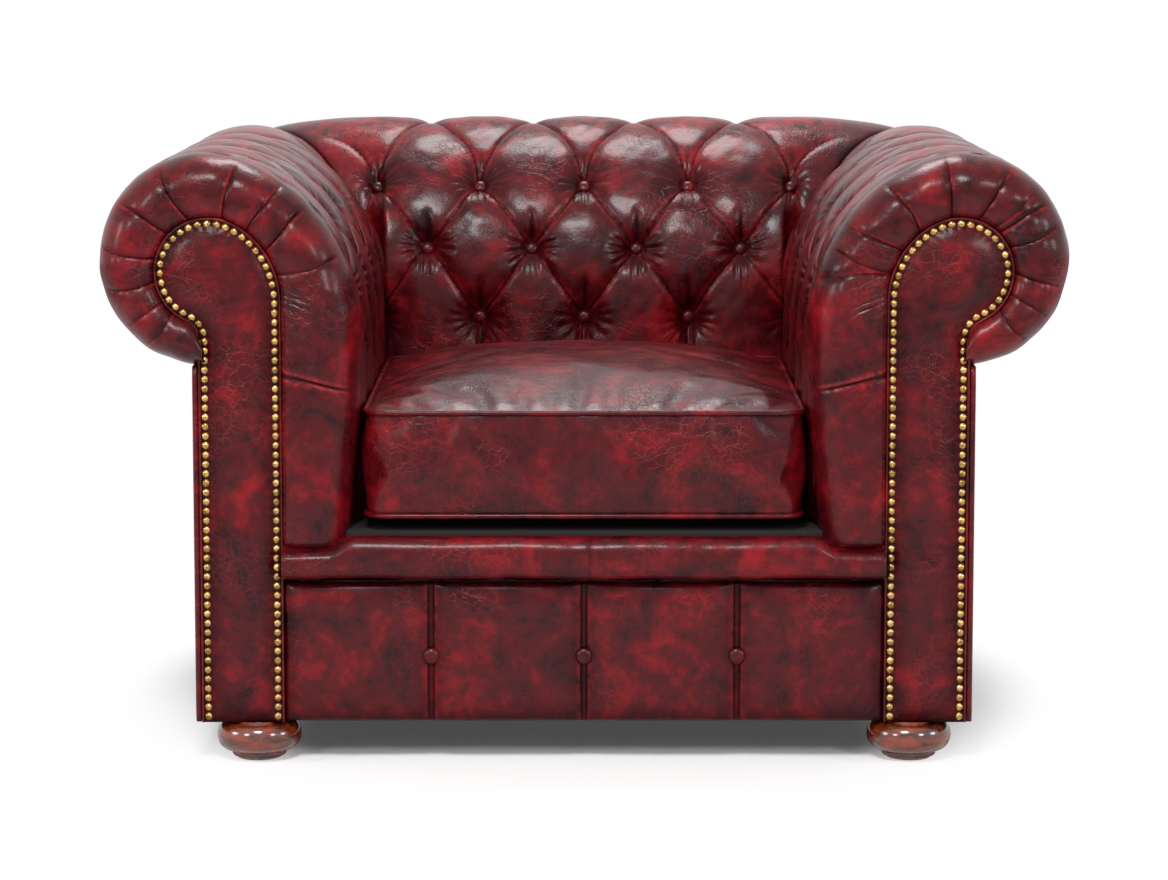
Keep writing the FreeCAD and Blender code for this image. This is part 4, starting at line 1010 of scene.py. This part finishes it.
def roundedSquare(a, b, halfA, halfB, radius):        # a square's points on a soft rectangle
    x = a * halfA
    y = b * halfB
    i = np.clip((np.abs(x) - (halfA - radius)) / radius, 0.0, 1.0)
    j = np.clip((np.abs(y) - (halfB - radius)) / radius, 0.0, 1.0)
    roundX = i * np.sqrt(1.0 - j * j / 2.0)
    roundY = j * np.sqrt(1.0 - i * i / 2.0)
    x = np.sign(x) * np.where(i > 0.0, halfA - radius + roundX * radius, np.abs(x))
    y = np.sign(y) * np.where(j > 0.0, halfB - radius + roundY * radius, np.abs(y))
    return x, y


def cushionPad():
    middleY = (cushion["frontY"] + cushion["rearY"]) / 2.0
    halfY = (cushion["rearY"] - cushion["frontY"]) / 2.0
    work = bmesh.new()
    bmesh.ops.create_cube(work, size=2.0)
    cuts = {0: int(2 * cushion["half"] / cushion["cell"]), 1: int(2 * halfY / cushion["cell"]),
            2: int((cushion["high"] - cushion["low"]) / cushion["cell"])}
    for axis, count in cuts.items():
        edges = [e for e in work.edges
                 if abs(abs(e.verts[0].co[axis] - e.verts[1].co[axis]) - 2.0) < 0.001]
        bmesh.ops.subdivide_edges(work, edges=edges, cuts=count, use_grid_fill=True)
    work.verts.layers.float.new("crease")
    work.verts.layers.float.new("rubAndGlint")
    flat = np.array([vert.co[:] for vert in work.verts])
    inset = cushion["seamInset"]
    x, y = roundedSquare(flat[:, 0], flat[:, 1], cushion["half"] - inset, halfY - inset,
                         cushion["radius"])
    z = (cushion["low"] + cushion["high"]) / 2.0 + flat[:, 2] * (
        cushion["high"] - cushion["low"]) / 2.0
    ring = np.maximum(np.abs(flat[:, 0]), np.abs(flat[:, 1]))
    dome = (1.0 - np.abs(flat[:, 0]) ** 4) * (1.0 - np.abs(flat[:, 1]) ** 4)
    top = flat[:, 2] > 0.999
    low = flat[:, 2] < -0.999
    z = z + np.where(top, cushion["startCrown"] * dome, 0.0)
    z = z - np.where(low, cushion["startBelly"] * dome, 0.0)
    for vert, px, py, pz in zip(work.verts, x, y + middleY, z):
        vert.co = (px * mm, py * mm, pz * mm)
    onSeam = (ring > 0.999) & (np.abs(flat[:, 2]) > 0.999)
    bmesh.ops.recalc_face_normals(work, faces=work.faces)
    start = np.array([vert.co[:] for vert in work.verts])
    piece = storeMesh("seat_cushion_pad", work)
    simulateCushion(piece, start, np.where(onSeam)[0])
    finishCushion(piece, onSeam)
    return middleY, halfY


def simulateCushion(piece, start, pinned):
    pins = piece.vertex_groups.new(name="seam")
    pins.add([int(i) for i in pinned], 1.0, "REPLACE")
    cloth = piece.modifiers.new("stuffing", "CLOTH")
    settings = cloth.settings
    settings.vertex_group_mass = "seam"
    settings.use_pressure = True
    settings.uniform_pressure_force = cushion["pressure"]
    settings.quality = 6
    settings.mass = 0.4
    settings.tension_stiffness = 25.0
    settings.compression_stiffness = 20.0
    settings.shear_stiffness = 12.0
    settings.bending_stiffness = 4.0
    settings.shrink_min = -0.014        # a little spare leather, which puckers at the seams
    settings.effector_weights.gravity = 0.0
    scene = bpy.context.scene
    for number in range(1, cushion["frames"] + 1):
        scene.frame_set(number)
    shaped = piece.evaluated_get(bpy.context.evaluated_depsgraph_get())
    ends = np.array([vert.co[:] for vert in shaped.data.vertices])
    move = ends - start
    size = np.linalg.norm(move, axis=1)
    share = np.minimum(1.0, cushion["cap"] * mm / np.maximum(size, 1e-9))
    piece.modifiers.remove(cloth)
    scene.frame_set(1)
    for vert, point in zip(piece.data.vertices, start + move * share[:, None]):
        vert.co = point


def finishCushion(piece, onSeam):        # size it to its box, and darken its seams as painted shade
    points = np.array([vert.co[:] for vert in piece.data.vertices]) / mm
    top = points[:, 2] > cushion["high"]
    low = points[:, 2] < cushion["low"]
    rise = points[:, 2].max() - cushion["high"]
    drop = cushion["low"] - points[:, 2].min()
    points[:, 2] = np.where(top, cushion["high"] + (points[:, 2] - cushion["high"])
                            * cushion["crown"] / rise, points[:, 2])
    points[:, 2] = np.where(low, cushion["low"] - (cushion["low"] - points[:, 2])
                            * cushion["belly"] / max(drop, 1.0), points[:, 2])
    points[:, 2] = np.maximum(points[:, 2], cushion["deckZ"])
    limitX = cushion["half"] + 1.5 + 4.0 * smoothStep(-points[:, 1], 374.0, 388.0)
    points[:, 0] = np.clip(points[:, 0], -limitX, limitX)
    points[:, 1] = np.clip(points[:, 1], cushion["frontY"] - 8.0, cushion["rearY"] + 0.5)
    for vert, point in zip(piece.data.vertices, points):
        vert.co = point * mm
    # painted shade along the welted seams
    crease = piece.data.attributes["crease"]
    crease.data.foreach_set("value", np.where(onSeam, 0.9, 0.0))
    smooth = piece.modifiers.new("smooth", "SUBSURF")
    smooth.levels = 1
    smooth.render_levels = 1
    dress(piece, "seat_cushion", ["cushion_core", "cushion_top_panel", "cushion_bottom_panel",
                                  "cushion_border"], "oxblood_leather")


def cushionWelts(middleY, halfY):
    turns = np.linspace(0.0, 90.0, 10)
    paths = []
    for z in (cushion["low"], cushion["high"]):
        points = []
        reach = cushion["weltRadius"] + 0.6
        radius = cushion["radius"]
        for sx, sy, start in ((1, 1, 0.0), (-1, 1, 90.0), (-1, -1, 180.0), (1, -1, 270.0)):
            cx = sx * (cushion["half"] - reach - radius)
            cy = middleY + sy * (halfY - reach - radius)
            for turn in turns:
                angle = math.radians(start + turn)
                points.append((cx + radius * math.cos(angle), cy + radius * math.sin(angle), z))
        paths.append((points, True))
    welts = tubePiece("cushion_welts", paths, cushion["weltRadius"], 10)
    dress(welts, "seat_cushion", ["cushion_piping"], "oxblood_leather")


cushionWelts(*cushionPad())
print("cushion made")

# Bun feet

foot = {"radius": 48.5, "topRadius": 35.0, "ringRadius": 31.0, "ringTop": 11.0, "bottom": 3.0,
        "neck": 43.0, "top": 45.7, "steps": 48}


def bunFoot(name):
    low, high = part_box(name)
    centre = [(low[i] + high[i]) / 2.0 for i in (0, 1)]
    middle = (foot["ringTop"] + foot["neck"]) / 2.0
    profile = [(0.0, foot["bottom"]), (foot["ringRadius"] - 1.2, foot["bottom"]),
               (foot["ringRadius"], foot["bottom"] + 1.2),
               (foot["ringRadius"], foot["ringTop"] - 2.2),
               (foot["ringRadius"] - 1.4, foot["ringTop"] - 0.6)]
    for turn in range(-66, 67, 11):
        angle = math.radians(turn)
        profile.append((foot["ringRadius"] - 1.0 + (foot["radius"] - foot["ringRadius"] + 1.0)
                        * math.cos(angle) ** 0.8,
                        middle + (foot["neck"] - foot["ringTop"]) / 2.0 * math.sin(angle)
                        / math.sin(math.radians(66))))        # a full bun, cut flat at 66 degrees
    profile += [(foot["topRadius"], foot["neck"]), (foot["topRadius"], foot["top"]),
                (0.0, foot["top"])]
    work = turnedBody([(x * mm, z * mm) for x, z in profile], foot["steps"])
    bmesh.ops.translate(work, verts=work.verts, vec=(centre[0], centre[1], 0.0))
    dress(storeMesh(name.replace("foot", "bun_foot"), work), "root", [name], "mahogany")


for name in ("foot_front_left", "foot_front_right", "foot_rear_left", "foot_rear_right"):
    bunFoot(name)
print("feet made")

# Floor, light and camera

studio = {"floorSize": 12.0, "worldLight": 0.2, "floorGlow": 0.06, "nearReach": 0.5,
          "farReach": 0.72,
          "lamps": [("key", (-0.4, -2.5, 3.0), (0.0, 0.0, 0.35), 1.0, 84.0),
                    ("front_left", (-1.9, -2.7, 1.7), (0.0, 0.0, 0.4), 0.7, 20.0),
                    ("front_right", (1.9, -2.7, 1.7), (0.0, 0.0, 0.4), 0.7, 22.0),
                    ("left_side", (-2.8, -1.2, 1.3), (0.0, 0.0, 0.4), 0.8, 18.0),
                    ("right_side", (2.8, -1.2, 1.3), (0.0, 0.0, 0.4), 0.8, 16.0),
                    ("top", (0.0, 0.9, 2.6), (0.0, 0.1, 0.4), 1.0, 34.0)]}


def buildStudio():
    bpy.ops.mesh.primitive_plane_add(size=studio["floorSize"], location=(0.0, 0.0, 0.0))
    floor = bpy.context.object
    floor.name = "floor"
    material, tree, shader, place = newMaterial("pale_floor")
    setInputs(tree, shader, {"Base Color": fromHex("#f4f4f4"), "Roughness": 0.9,
                             "Specular IOR Level": 0.0})
    glow = addNode(tree, "ShaderNodeEmission", {"Strength": studio["floorGlow"]})
    both = addNode(tree, "ShaderNodeAddShader", {0: shader.outputs["BSDF"],
                                                 1: glow.outputs["Emission"]})
    white = addNode(tree, "ShaderNodeEmission", {"Strength": 1.0})
    squeezed = addNode(tree, "ShaderNodeMapping", {"Scale": (1.22, 1.0, 1.0), "Vector": place})
    reach = addNode(tree, "ShaderNodeVectorMath", {0: squeezed.outputs["Vector"]},
                    operation="LENGTH")
    fade = mapOf(tree, reach.outputs["Value"], studio["nearReach"], studio["farReach"],
                 interpolation_type="SMOOTHSTEP")
    paler = mixShaders(tree, fade, both.outputs["Shader"], white.outputs["Emission"])
    path = addNode(tree, "ShaderNodeLightPath").outputs
    pick = mixShaders(tree, path["Is Camera Ray"], shader.outputs["BSDF"], paler)
    output = next(node for node in tree.nodes if node.type == "OUTPUT_MATERIAL")
    tree.links.new(pick, output.inputs["Surface"])
    floor.data.materials.append(material)
    world = bpy.data.worlds.new("studio")
    bpy.context.scene.world = world
    world.use_nodes = True
    tree = world.node_tree
    tree.nodes.clear()
    path = addNode(tree, "ShaderNodeLightPath").outputs
    seen = mathOf(tree, "MAXIMUM", path["Is Camera Ray"], path["Is Glossy Ray"])
    either = mathOf(tree, "MAXIMUM", seen, path["Is Transmission Ray"])
    soft, white = [addNode(tree, "ShaderNodeBackground", {
        "Color": fromHex("#ffffff"), "Strength": strength}).outputs[0]
        for strength in (studio["worldLight"], 1.0)]
    addNode(tree, "ShaderNodeOutputWorld", {"Surface": mixShaders(tree, either, soft, white)})
    for name, spot, aim, size, power in studio["lamps"]:
        lamp = bpy.data.lights.new(name, "AREA")
        lamp.shape = "DISK"
        lamp.size = size
        lamp.energy = power
        holder = bpy.data.objects.new(name, lamp)
        holder.location = spot
        holder.rotation_euler = (Vector(aim) - Vector(spot)).to_track_quat("-Z", "Y").to_euler()
        bpy.context.scene.collection.objects.link(holder)


view = {"imageWidth": 1168.0, "focal": 3580.0, "sensor": 36.0, "spot": (0.0, -4.448, 0.934),
        "tilt": 6.55, "shift": -0.074}


def buildCamera():
    lens = bpy.data.cameras.new("photo_view")
    lens.sensor_width = view["sensor"]
    lens.lens = view["focal"] / view["imageWidth"] * view["sensor"]
    lens.shift_y = view["shift"]
    lens.clip_end = 50.0
    down = math.radians(view["tilt"])
    camera = bpy.data.objects.new("photo_view", lens)
    camera.location = view["spot"]
    camera.rotation_euler = (math.pi / 2.0 - down, 0.0, 0.0)
    bpy.context.scene.collection.objects.link(camera)
    bpy.context.scene.camera = camera


buildStudio()
buildCamera()
bpy.context.scene.view_settings.view_transform = "Standard"
print("studio made")
